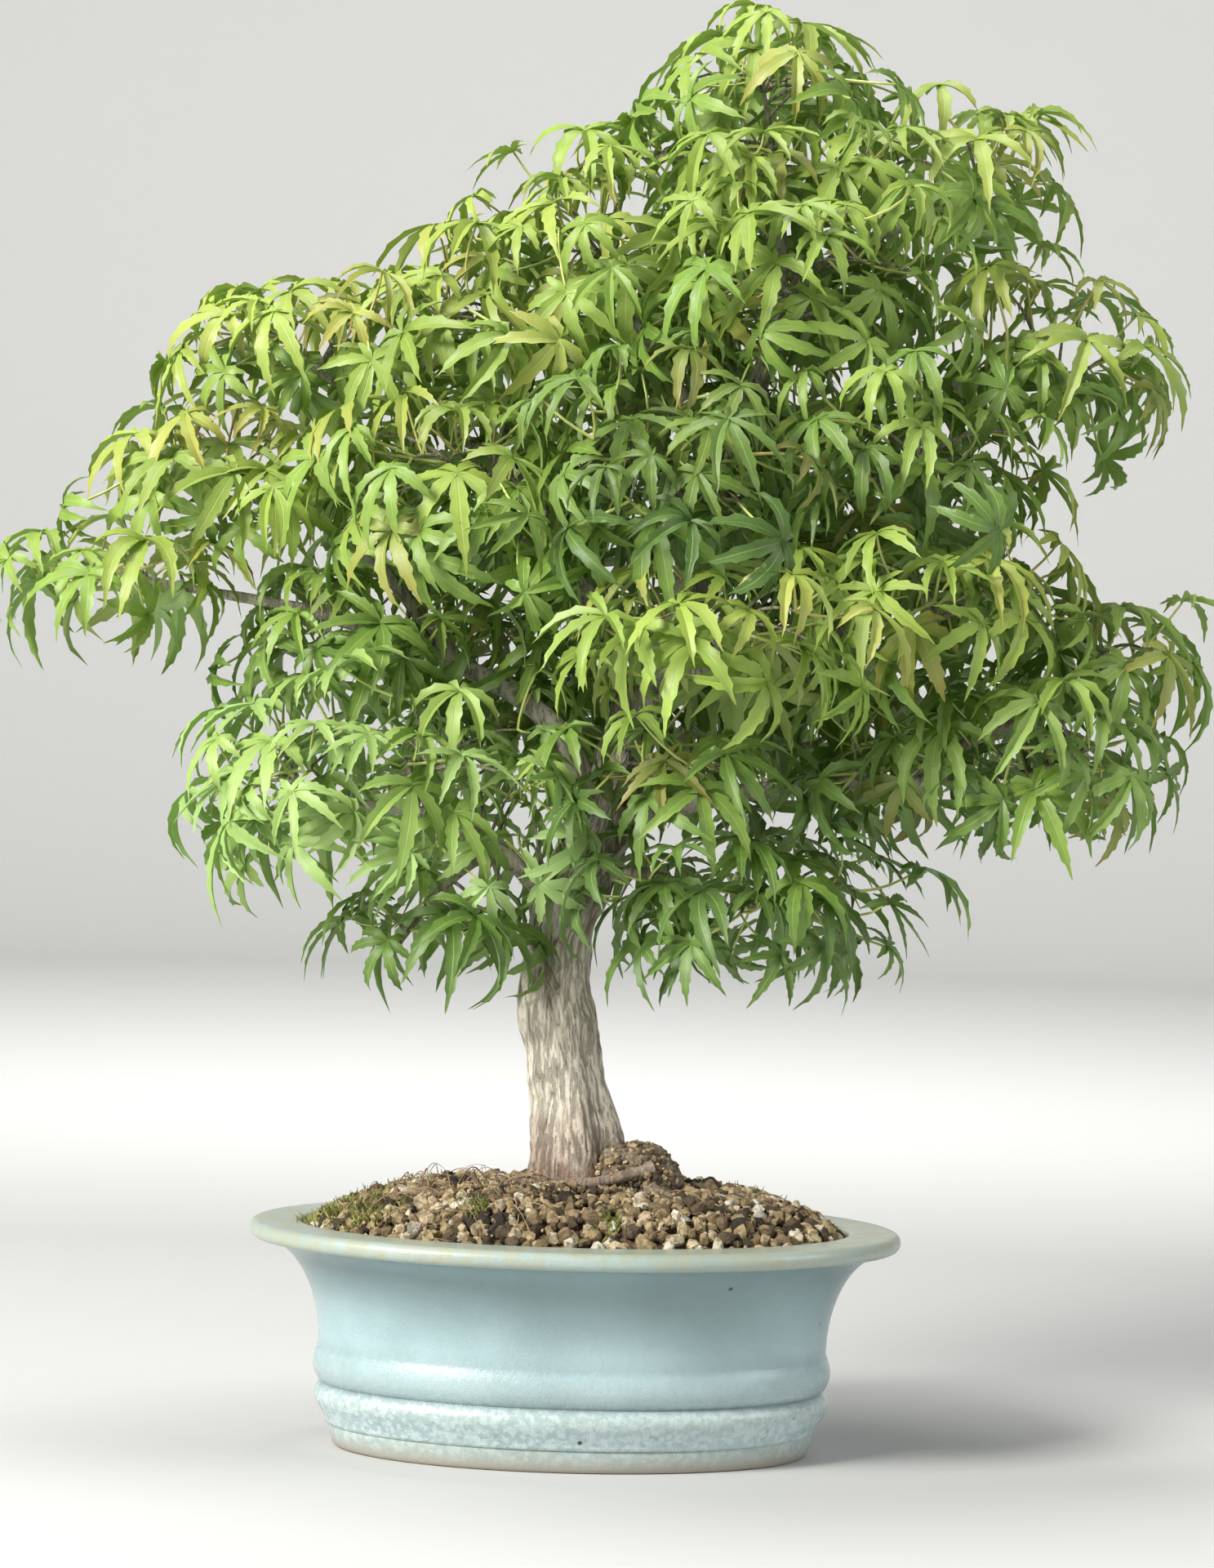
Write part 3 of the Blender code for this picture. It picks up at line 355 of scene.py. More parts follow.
class Bench:
    """Short calls that add nodes to a tree, a material's or a group's."""

    def __init__(self, tree: NodeTree) -> None:
        """Start on a tree."""
        self.tree = tree

    def put(self, kind: str, inputs: dict[str | int, Value], **settings: object) -> Node:
        """Add a node.

        Args:
            kind: the node's type.
            inputs: for each input, by name or number, a value or the socket that feeds it.
            settings: the node's own properties.

        Returns:
            The new node.
        """
        made = self.tree.nodes.new(kind)
        for name, value in settings.items():
            setattr(made, name, value)
        self.feed(made, inputs)
        return made

    def feed(self, node: Node, inputs: dict[str | int, Value]) -> None:
        """Give a node's inputs their values or the sockets that feed them.

        Args:
            node: the node.
            inputs: a value or a socket for each input, by name or number.
        """
        for name, value in inputs.items():
            if isinstance(value, Socket):
                self.tree.links.new(value, node.inputs[name])
            else:
                node.inputs[name].default_value = value

    def place(self) -> Socket:
        """The point's own Object coordinates."""
        return self.put("ShaderNodeTexCoord", {}).outputs["Object"]

    def read(self, name: str) -> Socket:
        """The value of a named attribute."""
        return self.put("ShaderNodeAttribute", {}, attribute_name=name).outputs["Fac"]

    def stretch(self, where: Socket, scale: Point) -> Socket:
        """Coordinates multiplied by a scale along each axis."""
        return self.put("ShaderNodeMapping", {"Vector": where, "Scale": scale}).outputs["Vector"]

    def sum(self, kind: str, first: Value, second: Value, clamp: bool = False) -> Socket:
        """One arithmetic step on two values."""
        inputs = {0: first, 1: second}
        return self.put("ShaderNodeMath", inputs, operation=kind, use_clamp=clamp).outputs[0]

    def times(self, first: Value, second: Value, clamp: bool = False) -> Socket:
        """The product of two values."""
        return self.sum("MULTIPLY", first, second, clamp)

    def spread(self, value: Value, low: Value, high: Value) -> Socket:
        """A value brought smoothly from 0 at low to 1 at high."""
        inputs = {"Value": value, "From Min": low, "From Max": high}
        return self.put("ShaderNodeMapRange", inputs, interpolation_type="SMOOTHSTEP").outputs[0]

    def mix(self, share: Value, first: Value, second: Value) -> Socket:
        """Two colours blended, by the second's share."""
        inputs = {0: share, 6: first, 7: second}
        return self.put("ShaderNodeMix", inputs, data_type="RGBA").outputs[2]

    def steps(self, value: Socket, stops: list[tuple[float, Colour]]) -> Socket:
        """A colour read off a ramp of (position, colour) stops."""
        made = self.put("ShaderNodeValToRGB", {"Fac": value})
        ramp = made.color_ramp.elements
        for _ in stops[2:]:
            ramp.new(0.5)
        for knot, (position, colour) in zip(ramp, stops):
            knot.position = position
            knot.color = colour
        return made.outputs["Color"]

    def blotches(self, where: Socket, scale: float, low: float = 0.4, high: float = 0.6) -> Socket:
        """Soft blotches from 0 to 1: a noise brought from 0 at low to 1 at high."""
        inputs = {"Vector": where, "Scale": scale, "Low": low, "High": high}
        return self.put("ShaderNodeGroup", inputs, node_tree=blotches_effect()).outputs[0]

    def crackle(self, where: Socket, scale: float, width: float) -> Socket:
        """Fine cracks between random cells, 1 in a crack and 0 beyond."""
        inputs = {"Vector": where, "Scale": scale, "Width": width}
        return self.put("ShaderNodeGroup", inputs, node_tree=crackle_effect()).outputs[0]

    def grain(self, where: Socket, scale: float) -> Socket:
        """Fine grain from 0 to 1."""
        inputs = {"Vector": where, "Scale": scale}
        return self.put("ShaderNodeGroup", inputs, node_tree=grain_effect()).outputs[0]

def rgb(red: float, green: float, blue: float) -> Colour:
    """A linear colour with full alpha."""
    return red, green, blue, 1.0


def new_effect(name: str, inputs: dict[str, float], output: str) -> tuple[Bench, Node, Node]:
    """Start a shared effect: a node group with a Vector input and named values.

    Args:
        name: the group's name.
        inputs: its value inputs and what they are unless set.
        output: the name of its one value output.

    Returns:
        A bench on the group, the node that holds its inputs, and its output node.
    """
    tree = bpy.data.node_groups.new(name, "ShaderNodeTree")
    tree.interface.new_socket("Vector", in_out="INPUT", socket_type="NodeSocketVector")
    for label, value in inputs.items():
        made = tree.interface.new_socket(label, in_out="INPUT", socket_type="NodeSocketFloat")
        made.default_value = value
    tree.interface.new_socket(output, in_out="OUTPUT", socket_type="NodeSocketFloat")
    bench = Bench(tree)
    return bench, bench.put("NodeGroupInput", {}), bench.put("NodeGroupOutput", {})


@cache
def blotches_effect() -> NodeTree:
    """Soft blotches: noise brought from 0 at Low to 1 at High."""
    bench, given, out = new_effect("soft_blotches", {"Scale": 60.0, "Low": 0.4, "High": 0.6}, "Mask")
    where = {"Vector": given.outputs["Vector"], "Scale": given.outputs["Scale"], "Detail": 4.0}
    noise = bench.put("ShaderNodeTexNoise", where).outputs["Fac"]
    mask = bench.spread(noise, given.outputs["Low"], given.outputs["High"])
    bench.feed(out, {"Mask": mask})
    return bench.tree


@cache
def crackle_effect() -> NodeTree:
    """Fine cracks: 1 within Width of the borders of random cells, 0 beyond."""
    bench, given, out = new_effect("fine_crackle", {"Scale": 300.0, "Width": 0.05}, "Mask")
    inputs = {"Vector": given.outputs["Vector"], "Scale": given.outputs["Scale"]}
    cells = bench.put("ShaderNodeTexVoronoi", inputs, feature="DISTANCE_TO_EDGE")
    ends = {"Value": cells.outputs["Distance"], "From Min": given.outputs["Width"], "From Max": 0.0}
    mask = bench.put("ShaderNodeMapRange", ends).outputs["Result"]
    bench.feed(out, {"Mask": mask})
    return bench.tree


@cache
def grain_effect() -> NodeTree:
    """Fine grain: the mean of a noise and one four times as fine."""
    bench, given, out = new_effect("fine_grain", {"Scale": 900.0}, "Height")
    where, scale = given.outputs["Vector"], given.outputs["Scale"]
    finer = bench.times(scale, 4.0)
    noises = [
        bench.put("ShaderNodeTexNoise", {"Vector": where, "Scale": size, "Detail": 2.0}).outputs["Fac"]
        for size in (scale, finer)
    ]
    total = bench.times(bench.sum("ADD", *noises), 0.5)
    bench.feed(out, {"Height": total})
    return bench.tree


def new_material(name: str) -> tuple[Material, Bench, Node]:
    """Start a material.

    Args:
        name: the material's name.

    Returns:
        The material, a bench on its nodes, and its Principled BSDF.
    """
    made = bpy.data.materials.new(name)
    made.use_nodes = True
    return made, Bench(made.node_tree), made.node_tree.nodes["Principled BSDF"]


def dress(bench: Bench, shader: Node, colour: Socket, height: Socket, rise: float,
          rough: Value) -> None:
    """Feed a shader its colour, a bump and its roughness.

    Args:
        bench: the material's bench.
        shader: its Principled BSDF.
        colour: the socket that feeds Base Color.
        height: the bump's height, from 0 to 1.
        rise: how far 1 stands up, in metres.
        rough: its roughness.
    """
    bump = bench.put("ShaderNodeBump", {"Height": height, "Distance": rise, "Strength": 1.0})
    bench.feed(shader, {"Base Color": colour, "Normal": bump.outputs["Normal"], "Roughness": rough})


@dataclass(frozen=True)
class GlazeFinish:
    """Pale ice-blue stoneware glaze: thin and buff at the edges, crazed low down, pinholed, and darker on
    the wall under the rim as painted shade.
    """

    body: Colour = rgb(0.41, 0.555, 0.585)
    shade: Colour = rgb(0.32, 0.445, 0.465)
    # painted shade: the dark colour of the wall under the rim
    deep: Colour = rgb(0.15, 0.23, 0.24)
    thin: Colour = rgb(0.40, 0.43, 0.33)
    pool: Colour = rgb(0.15, 0.195, 0.19)
    clay: Colour = rgb(0.36, 0.36, 0.31)
    pinhole: Colour = rgb(0.05, 0.06, 0.06)
    roughness: float = 0.26

    def material(self) -> Material:
        """Build the glaze.

        Returns:
            The material.
        """
        made, bench, shader = new_material("celadon_glaze")
        where = bench.place()
        cloud = bench.blotches(where, 26.0, 0.35, 0.7)
        mottle = bench.blotches(where, 420.0, 0.42, 0.62)
        colour = bench.mix(cloud, self.shade, self.body)
        low = bench.read("low")
        # painted shade under the rim, where the overhang shades the wall
        colour = bench.mix(bench.times(bench.read("deep"), 0.6), colour, self.deep)
        pale = bench.mix(0.5, self.body, rgb(0.75, 0.84, 0.84))
        patchy = bench.times(bench.sum("ADD", mottle, 0.35), low)
        colour = bench.mix(bench.times(patchy, 0.85), colour, pale)
        crack = bench.crackle(where, 330.0, 0.045)
        crack = bench.times(crack, bench.sum("ADD", bench.times(low, 0.3), 0.05))
        colour = bench.mix(crack, colour, self.pool)
        wander = bench.blotches(where, 190.0, 0.3, 0.7)
        edge = bench.times(bench.read("thin"), bench.sum("ADD", wander, 0.55), True)
        colour = bench.mix(edge, colour, self.thin)
        colour = bench.mix(bench.read("pool"), colour, self.pool)
        dots = bench.put("ShaderNodeTexVoronoi", {"Vector": where, "Scale": 95.0}).outputs["Distance"]
        hole = bench.spread(dots, 0.085, 0.05)
        rare = bench.blotches(where, 70.0, 0.57, 0.6)
        hole = bench.times(hole, rare)
        colour = bench.mix(hole, colour, self.pinhole)
        grit = bench.grain(where, 700.0)
        bare = bench.read("clay")
        clay = bench.mix(grit, self.clay, rgb(0.40, 0.36, 0.29))
        colour = bench.mix(bare, colour, clay)
        height = bench.sum("SUBTRACT", bench.times(grit, 0.45), bench.times(hole, 0.5))
        rough = bench.sum("ADD", bench.times(bare, 0.5), self.roughness)
        rough = bench.sum("ADD", bench.times(edge, 0.15), rough)
        dress(bench, shader, colour, height, 0.0005, rough)
        bench.feed(shader, {"Coat Weight": 0.25, "Coat Roughness": 0.18})
        return made


@dataclass(frozen=True)
class BarkFinish:
    """Maple bark: pale tan ridges, darker furrows, browner towards the soil, grey-green and darker above,
    partly its own colour and partly painted shadow of the crown.
    """

    ridge: Colour = rgb(0.93, 0.86, 0.71)
    furrow: Colour = rgb(0.10, 0.075, 0.050)
    foot: Colour = rgb(0.30, 0.185, 0.125)
    # grey-green, darker upper bark, partly painted shadow of the crown
    high: Colour = rgb(0.25, 0.235, 0.165)
    shoot: Colour = rgb(0.16, 0.15, 0.08)

    def material(self) -> Material:
        """Build the bark.

        Returns:
            The material, which reads the attributes furrow, foot, high, young and soiled.
        """
        made, bench, shader = new_material("maple_bark")
        where = bench.place()
        lengthwise = bench.stretch(where, (1.0, 1.0, 0.10))
        streak = bench.blotches(lengthwise, 950.0, 0.38, 0.66)
        line = bench.blotches(lengthwise, 620.0, 0.46, 0.42)
        patch = bench.blotches(where, 90.0, 0.4, 0.65)
        colour = bench.mix(bench.times(patch, 0.25), self.ridge, self.high)
        # darker towards the top: grey-green bark and painted shadow of the crown
        colour = bench.mix(bench.read("high"), colour, self.high)
        colour = bench.mix(bench.read("foot"), colour, self.foot)
        colour = bench.mix(bench.read("young"), colour, self.shoot)
        colour = bench.mix(bench.times(streak, 0.34), colour, rgb(0.86, 0.80, 0.68))
        dark = bench.sum("MAXIMUM", bench.read("furrow"), bench.times(line, 0.62))
        colour = bench.mix(bench.times(dark, 0.85), colour, self.furrow)
        grit = bench.grain(where, 900.0)
        crumb = bench.blotches(where, 700.0, 0.35, 0.7)
        soil = bench.mix(crumb, rgb(0.055, 0.040, 0.026), rgb(0.30, 0.23, 0.14))
        colour = bench.mix(bench.read("soiled"), colour, soil)
        height = bench.sum("SUBTRACT", grit, bench.times(line, 0.5))
        dress(bench, shader, colour, height, 0.0009, 0.85)
        return made


@dataclass(frozen=True)
class LeafFinish:
    """Maple leaf: from old, shaded dark green to young, lit lime, with the light and shade painted; tan
    blush on new growth; a mint tint, partly a painted sheen; pale rib and underside.
    """

    old: Colour = rgb(0.065, 0.15, 0.018)
    middle: Colour = rgb(0.23, 0.39, 0.052)
    young: Colour = rgb(0.50, 0.65, 0.110)
    cool: Colour = rgb(0.46, 0.66, 0.26)
    blush: Colour = rgb(0.60, 0.36, 0.12)
    rib: Colour = rgb(0.62, 0.70, 0.26)
    glow: Colour = rgb(0.45, 0.66, 0.06)
    roughness: float = 0.40

    def material(self) -> Material:
        """Build the leaf, which reads how old and how lit it is painted, its mint tint and painted sheen,
        blush, along, across and under.

        Returns:
            The material.
        """
        made, bench, shader = new_material("maple_leaf")
        where = bench.place()
        # the ramp runs from old leaves in painted shade to young leaves in painted light
        stops = [(0.0, self.old), (0.45, self.middle), (1.0, self.young)]
        cloud = bench.blotches(where, 260.0, 0.3, 0.7)
        age = bench.sum("ADD", bench.read("age"), bench.times(bench.sum("SUBTRACT", cloud, 0.5), 0.16))
        colour = bench.steps(age, stops)
        # a mint tint, partly a painted sheen on lit leaves
        colour = bench.mix(bench.read("cool"), colour, self.cool)
        along, across = bench.read("along"), bench.read("across")
        tips = bench.sum("ADD", bench.times(along, 0.75), 0.3)
        colour = bench.mix(bench.times(bench.read("blush"), tips, True), colour, self.blush)
        slant = bench.sum("SUBTRACT", bench.times(along, 15.0), bench.times(across, 1.6))
        vein = bench.spread(bench.sum("PINGPONG", slant, 0.5), 0.09, 0.0)
        rib = bench.spread(across, 0.12, 0.03)
        top = bench.spread(bench.read("under"), 0.52, 0.48)
        lines = bench.sum("MAXIMUM", bench.times(rib, 0.42), bench.times(vein, 0.16))
        colour = bench.mix(lines, colour, self.rib)
        paler = bench.mix(0.45, colour, self.cool)
        colour = bench.mix(top, paler, colour)
        grit = bench.grain(where, 1500.0)
        height = bench.sum("SUBTRACT", bench.times(grit, 0.3), bench.times(lines, 0.6))
        dress(bench, shader, colour, height, 0.00025, self.roughness)
        bench.feed(shader, {"Specular IOR Level": 0.65})
        through = bench.put("ShaderNodeBsdfTranslucent", {"Color": bench.mix(0.5, colour, self.glow)})
        blend = bench.put("ShaderNodeMixShader", {0: 0.35, 1: shader.outputs[0], 2: through.outputs[0]})
        bench.feed(made.node_tree.nodes["Material Output"], {"Surface": blend.outputs[0]})
        return made


@dataclass(frozen=True)
class StalkFinish:
    """Leaf stalks: pale yellow green, pinker where the leaf is young."""

    plain: Colour = rgb(0.52, 0.58, 0.18)
    pink: Colour = rgb(0.55, 0.28, 0.14)

    def material(self) -> Material:
        """Build the stalk, which reads blush.

        Returns:
            The material.
        """
        made, bench, shader = new_material("leaf_stalk")
        where = bench.place()
        cloud = bench.blotches(where, 200.0, 0.3, 0.7)
        colour = bench.mix(bench.times(cloud, 0.5), self.plain, rgb(0.34, 0.46, 0.10))
        colour = bench.mix(bench.read("blush"), colour, self.pink)
        dress(bench, shader, colour, cloud, 0.0001, 0.45)
        return made


@dataclass(frozen=True)
class SoilFinish:
    """Soil granules: each its own tone, from near black through brown and tan to cream."""

    stops: tuple[tuple[float, Colour], ...] = (
        (0.0, rgb(0.030, 0.024, 0.020)),
        (0.22, rgb(0.12, 0.085, 0.052)),
        (0.45, rgb(0.36, 0.26, 0.135)),
        (0.70, rgb(0.60, 0.46, 0.25)),
        (0.90, rgb(0.76, 0.64, 0.42)),
        (1.0, rgb(0.90, 0.84, 0.70)),
    )

    def material(self) -> Material:
        """Build the granules, which read tone.

        Returns:
            The material.
        """
        made, bench, shader = new_material("soil_granules")
        where = bench.place()
        grit = bench.grain(where, 900.0)
        shift = bench.times(bench.sum("SUBTRACT", grit, 0.5), 0.35)
        colour = bench.steps(bench.sum("ADD", bench.read("tone"), shift), list(self.stops))
        dirt = bench.blotches(where, 420.0, 0.42, 0.68)
        colour = bench.mix(bench.times(dirt, 0.6), colour, rgb(0.07, 0.050, 0.030))
        dress(bench, shader, colour, grit, 0.0011, 0.95)
        return made


@dataclass(frozen=True)
class PlainFinish:
    """A finish of two close tones in small blotches over a fine grain."""

    name: str
    first: Colour
    second: Colour
    roughness: float
    metallic: float = 0.0
    blotch: float = 300.0
    rise: float = 0.0002

    def material(self) -> Material:
        """Build the finish.

        Returns:
            The material.
        """
        made, bench, shader = new_material(self.name)
        where = bench.place()
        patch = bench.blotches(where, self.blotch)
        grit = bench.grain(where, 1200.0)
        colour = bench.mix(patch, self.first, self.second)
        dress(bench, shader, colour, grit, self.rise, self.roughness)
        bench.feed(shader, {"Metallic": self.metallic})
        return made


# Pot


@dataclass(frozen=True)
class PotSizes:
    """The pot's sizes: each level is the rim's oval drawn in by an inset."""

    half_length: float = 0.1015
    half_width: float = 0.0715
    height: float = 0.07
    foot_inset: float = 0.0277
    foot_height: float = 0.0075
    foot_top_inset: float = 0.0253
    foot_ring: float = 0.008
    foot_recess: float = 0.0035
    join_height: float = 0.02
    join_inset: float = 0.0236
    lower_swell: float = 0.0027
    upper_swell: float = 0.0021
    neck_height: float = 0.0318
    neck_inset: float = 0.0225
    lip_height: float = 0.0647
    lip_inset: float = 0.0022
    lip_round: float = 0.0024
    inner_inset: float = 0.0162
    wall: float = 0.0062
    floor_height: float = 0.0092
    floor_inset: float = 0.031
    drain_radius: float = 0.008
    drain_x: float = 0.033
    wall_bow: float = 0.0036

    def oval(self, inset: Array, height: Array, sides: int) -> Array:
        """Rings of the pot: at turn a, ((length - inset) cos a, (width - inset) sin a, height).

        Args:
            inset: how far each ring is drawn in from the rim.
            height: each ring's height.
            sides: points in a ring.

        Returns:
            An array of rings by sides by 3.
        """
        return ovals(self.half_length - inset, self.half_width - inset, height, sides)

    def inner_wall(self) -> Array:
        """(inset, height) levels of the pot's inside, from below the rim down to its floor."""
        return np.array([
            (self.inner_inset + self.wall_bow, self.height - 0.011),
            (self.neck_inset + self.wall - 0.0028, self.height - 0.0240),
            (self.neck_inset + self.wall, self.neck_height),
            (self.floor_inset, self.floor_height),
        ])


@dataclass
class GlazedPot:
    """The oval pot, thrown and glazed: foot ring, two rolled bands, flared wall, broad lip."""

    sizes: PotSizes
    sides: int = 176
    wobble: float = 0.00022
    # painted shade: the outer wall darkens from this height up to the rim
    under_rim_shade_start: float = 0.036
    under_rim_shade_fade: float = 0.022

    def band(self, low: tuple[float, float], high: tuple[float, float], swell: float, full: float,
             steps: int) -> Array:
        """A rolled band between two grooves: the straight line between them plus an outward
        swell of sin(pi u), where u is the share t of the way up, bent so that the fullest
        point lies where it should.

        Args:
            low: the lower groove's (inset, height).
            high: the upper groove's.
            swell: how far it stands out.
            full: how far up its fullest point is, as a share.
            steps: how many levels lie between them.

        Returns:
            The levels, the upper groove among them.
        """
        t = np.arange(1, steps + 2)[:, None] / (steps + 1)
        line = np.array(low) + (np.array(high) - np.array(low)) * t
        bent = t[:, 0] ** (math.log(0.5) / math.log(full))
        line[:, 0] -= swell * np.sin(math.pi * bent)
        return line

    def profile(self) -> Array:
        """The (inset, height) outline, from the middle of the underside round to the floor."""
        s = self.sizes
        ring = s.foot_inset + s.foot_ring
        foot_top = (s.foot_top_inset, s.foot_height)
        join = (s.join_inset, s.join_height)
        neck = (s.neck_inset, s.neck_height)
        flare = np.radians(np.linspace(8, 86, 18))
        wall = np.stack([
            s.neck_inset - (s.neck_inset - s.lip_inset) * (1 - np.cos(flare)),
            s.neck_height + (s.lip_height - s.neck_height) * np.sin(flare),
        ], axis=1)
        turn = np.radians(np.linspace(-70, 85, 12))
        middle, half = (s.lip_height + s.height) / 2, (s.height - s.lip_height) / 2
        lip = np.stack([s.lip_round * (1 - np.cos(turn)), middle + half * np.sin(turn)], axis=1)
        top = np.stack([np.linspace(0.0034, s.inner_inset - 0.0016, 7), np.full(7, s.height)], axis=1)
        corner = (s.inner_inset, s.height) + np.array([
            (-0.0007, -0.0002), (-0.0001, -0.0008), (0.0003, -0.0020),
        ])
        base = np.array([
            (s.half_width * 0.97, s.foot_recess),
            (s.half_width * 0.8, s.foot_recess),
            (ring + 0.0006, s.foot_recess),
            (ring, s.foot_recess - 0.0005),
            (ring - 0.0004, 0.0005),
            (ring - 0.0010, 0.0),
            (s.foot_inset + 0.0012, 0.0),
            (s.foot_inset + 0.0003, 0.0004),
            (s.foot_inset - 0.0001, 0.0012),
            (s.foot_top_inset + 0.0006, s.foot_height - 0.0012),
            (s.foot_top_inset + 0.0008, s.foot_height - 0.0004),
            foot_top,
        ])
        floor = np.array([(s.floor_inset + 0.002, s.floor_height), (s.half_width * 0.97, s.floor_height)])
        inner = smooth_line(s.inner_wall(), 14)
        lower = self.band(foot_top, join, s.lower_swell, 0.66, 12)
        upper = self.band(join, neck, s.upper_swell, 0.44, 11)
        return np.vstack([base, lower, upper, wall, lip, top, corner, inner, floor])

    def bends(self, profile: Array) -> Array:
        """How sharply the outline turns out (above 0) or in (below 0) at each level: the change
        of its direction across 2 mm of its length.

        Args:
            profile: the outline's levels.

        Returns:
            One value a level.
        """
        step = np.gradient(profile, axis=0)
        length = np.concatenate([[0], np.cumsum(np.linalg.norm(np.diff(profile, axis=0), axis=1))])
        angle = np.unwrap(np.arctan2(step[:, 1], -step[:, 0]))
        reach = 0.001
        return np.interp(length + reach, length, angle) - np.interp(length - reach, length, angle)

    def build(self) -> Object:
        """Make the pot.

        Returns:
            The finished piece.
        """
        s = self.sizes
        profile = self.profile()
        rings = s.oval(profile[:, 0], profile[:, 1], self.sides)
        outer = np.ones(len(profile))
        outer[profile[:, 1] < 0.001] = 0.0
        swell = ripple(rings * (1, 1, 0.6), 0.060, SEED) * outer[:, None]
        out = unit(rings * (1, 1, 0) + 1e-9)
        rings = rings + out * (self.wobble * swell)[..., None]
        bend = self.bends(profile)
        height, inset = profile[:, 1], profile[:, 0]
        level = np.arange(len(profile))
        last_outside = int(np.argmax(height)) + 10
        on_rim = (height > s.lip_height - 0.0006) & (level < last_outside + 4)
        on_top = on_rim & (height > s.height - 0.0001)
        thin = np.clip(bend * 0.4, 0, 0.6) + 0.40 * on_rim + 0.45 * on_top
        pool = np.clip(-bend * 0.8 - 0.08, 0, 0.7) * (height > 0.004) * (height < 0.04)
        # painted shade: darker up the outer wall towards the rim, under its overhang
        deep = np.clip((height - self.under_rim_shade_start) / self.under_rim_shade_fade, 0, 1) * (level < last_outside) * ~on_rim
        clay = ((height < 0.0022) | (inset > s.foot_inset + 0.004)).astype(float)
        clay[level > last_outside + 6] = 1.0
        low = np.clip((s.join_height + 0.002 - height) / 0.003, 0.12, 1) * (height < s.neck_height + 0.002)
        thin = thin * (1 - clay) + 0.35 * (height < s.foot_height) * (1 - clay)
        poles = np.array([(0, 0, profile[0, 1]), (0, 0, profile[-1, 1])])
        points = np.concatenate([rings.reshape(-1, 3), poles])
        values = {
            name: np.concatenate([np.repeat(value, self.sides), value[[0, -1]]])
            for name, value in (("thin", thin), ("pool", pool), ("clay", clay), ("low", low), ("deep", deep))
        }
        shell = Shell()
        shell.add(points, strip_faces(len(profile), self.sides), **values)
        pot = shell.build("glazed_pot", [GlazeFinish().material()], 50)
        self.drain(pot)
        settle(pot, Slot.GLAZE.value, "pot")
        return pot

    def drain(self, pot: Object) -> None:
        """Cut the two round drain holes through the floor.

        Args:
            pot: the pot, whose mesh gets the holes.
        """
        shell = Shell()
        lines = np.array([
            [(side * self.sizes.drain_x, 0, -0.01), (side * self.sizes.drain_x, 0, 0.02)]
            for side in (-1, 1)
        ])
        shell.tubes(lines, np.full((2, 2), self.sizes.drain_radius), 40, clay=np.ones(2))
        cutter = shell.build("drain_cutter", [], 30)
        cut = pot.modifiers.new("drain", "BOOLEAN")
        cut.operation = "DIFFERENCE"
        cut.solver = "EXACT"
        cut.object = cutter
        bake_modifiers(pot)
        bpy.data.objects.remove(cutter, do_unlink=True)


def bake_modifiers(item: Object) -> None:
    """Put what an object's modifiers make into its mesh.

    Args:
        item: the object, which keeps no modifier.
    """
    bpy.context.view_layer.update()
    graph = bpy.context.evaluated_depsgraph_get()
    mesh = bpy.data.meshes.new_from_object(item.evaluated_get(graph), depsgraph=graph)
    item.modifiers.clear()
    item.data = mesh


# Soil


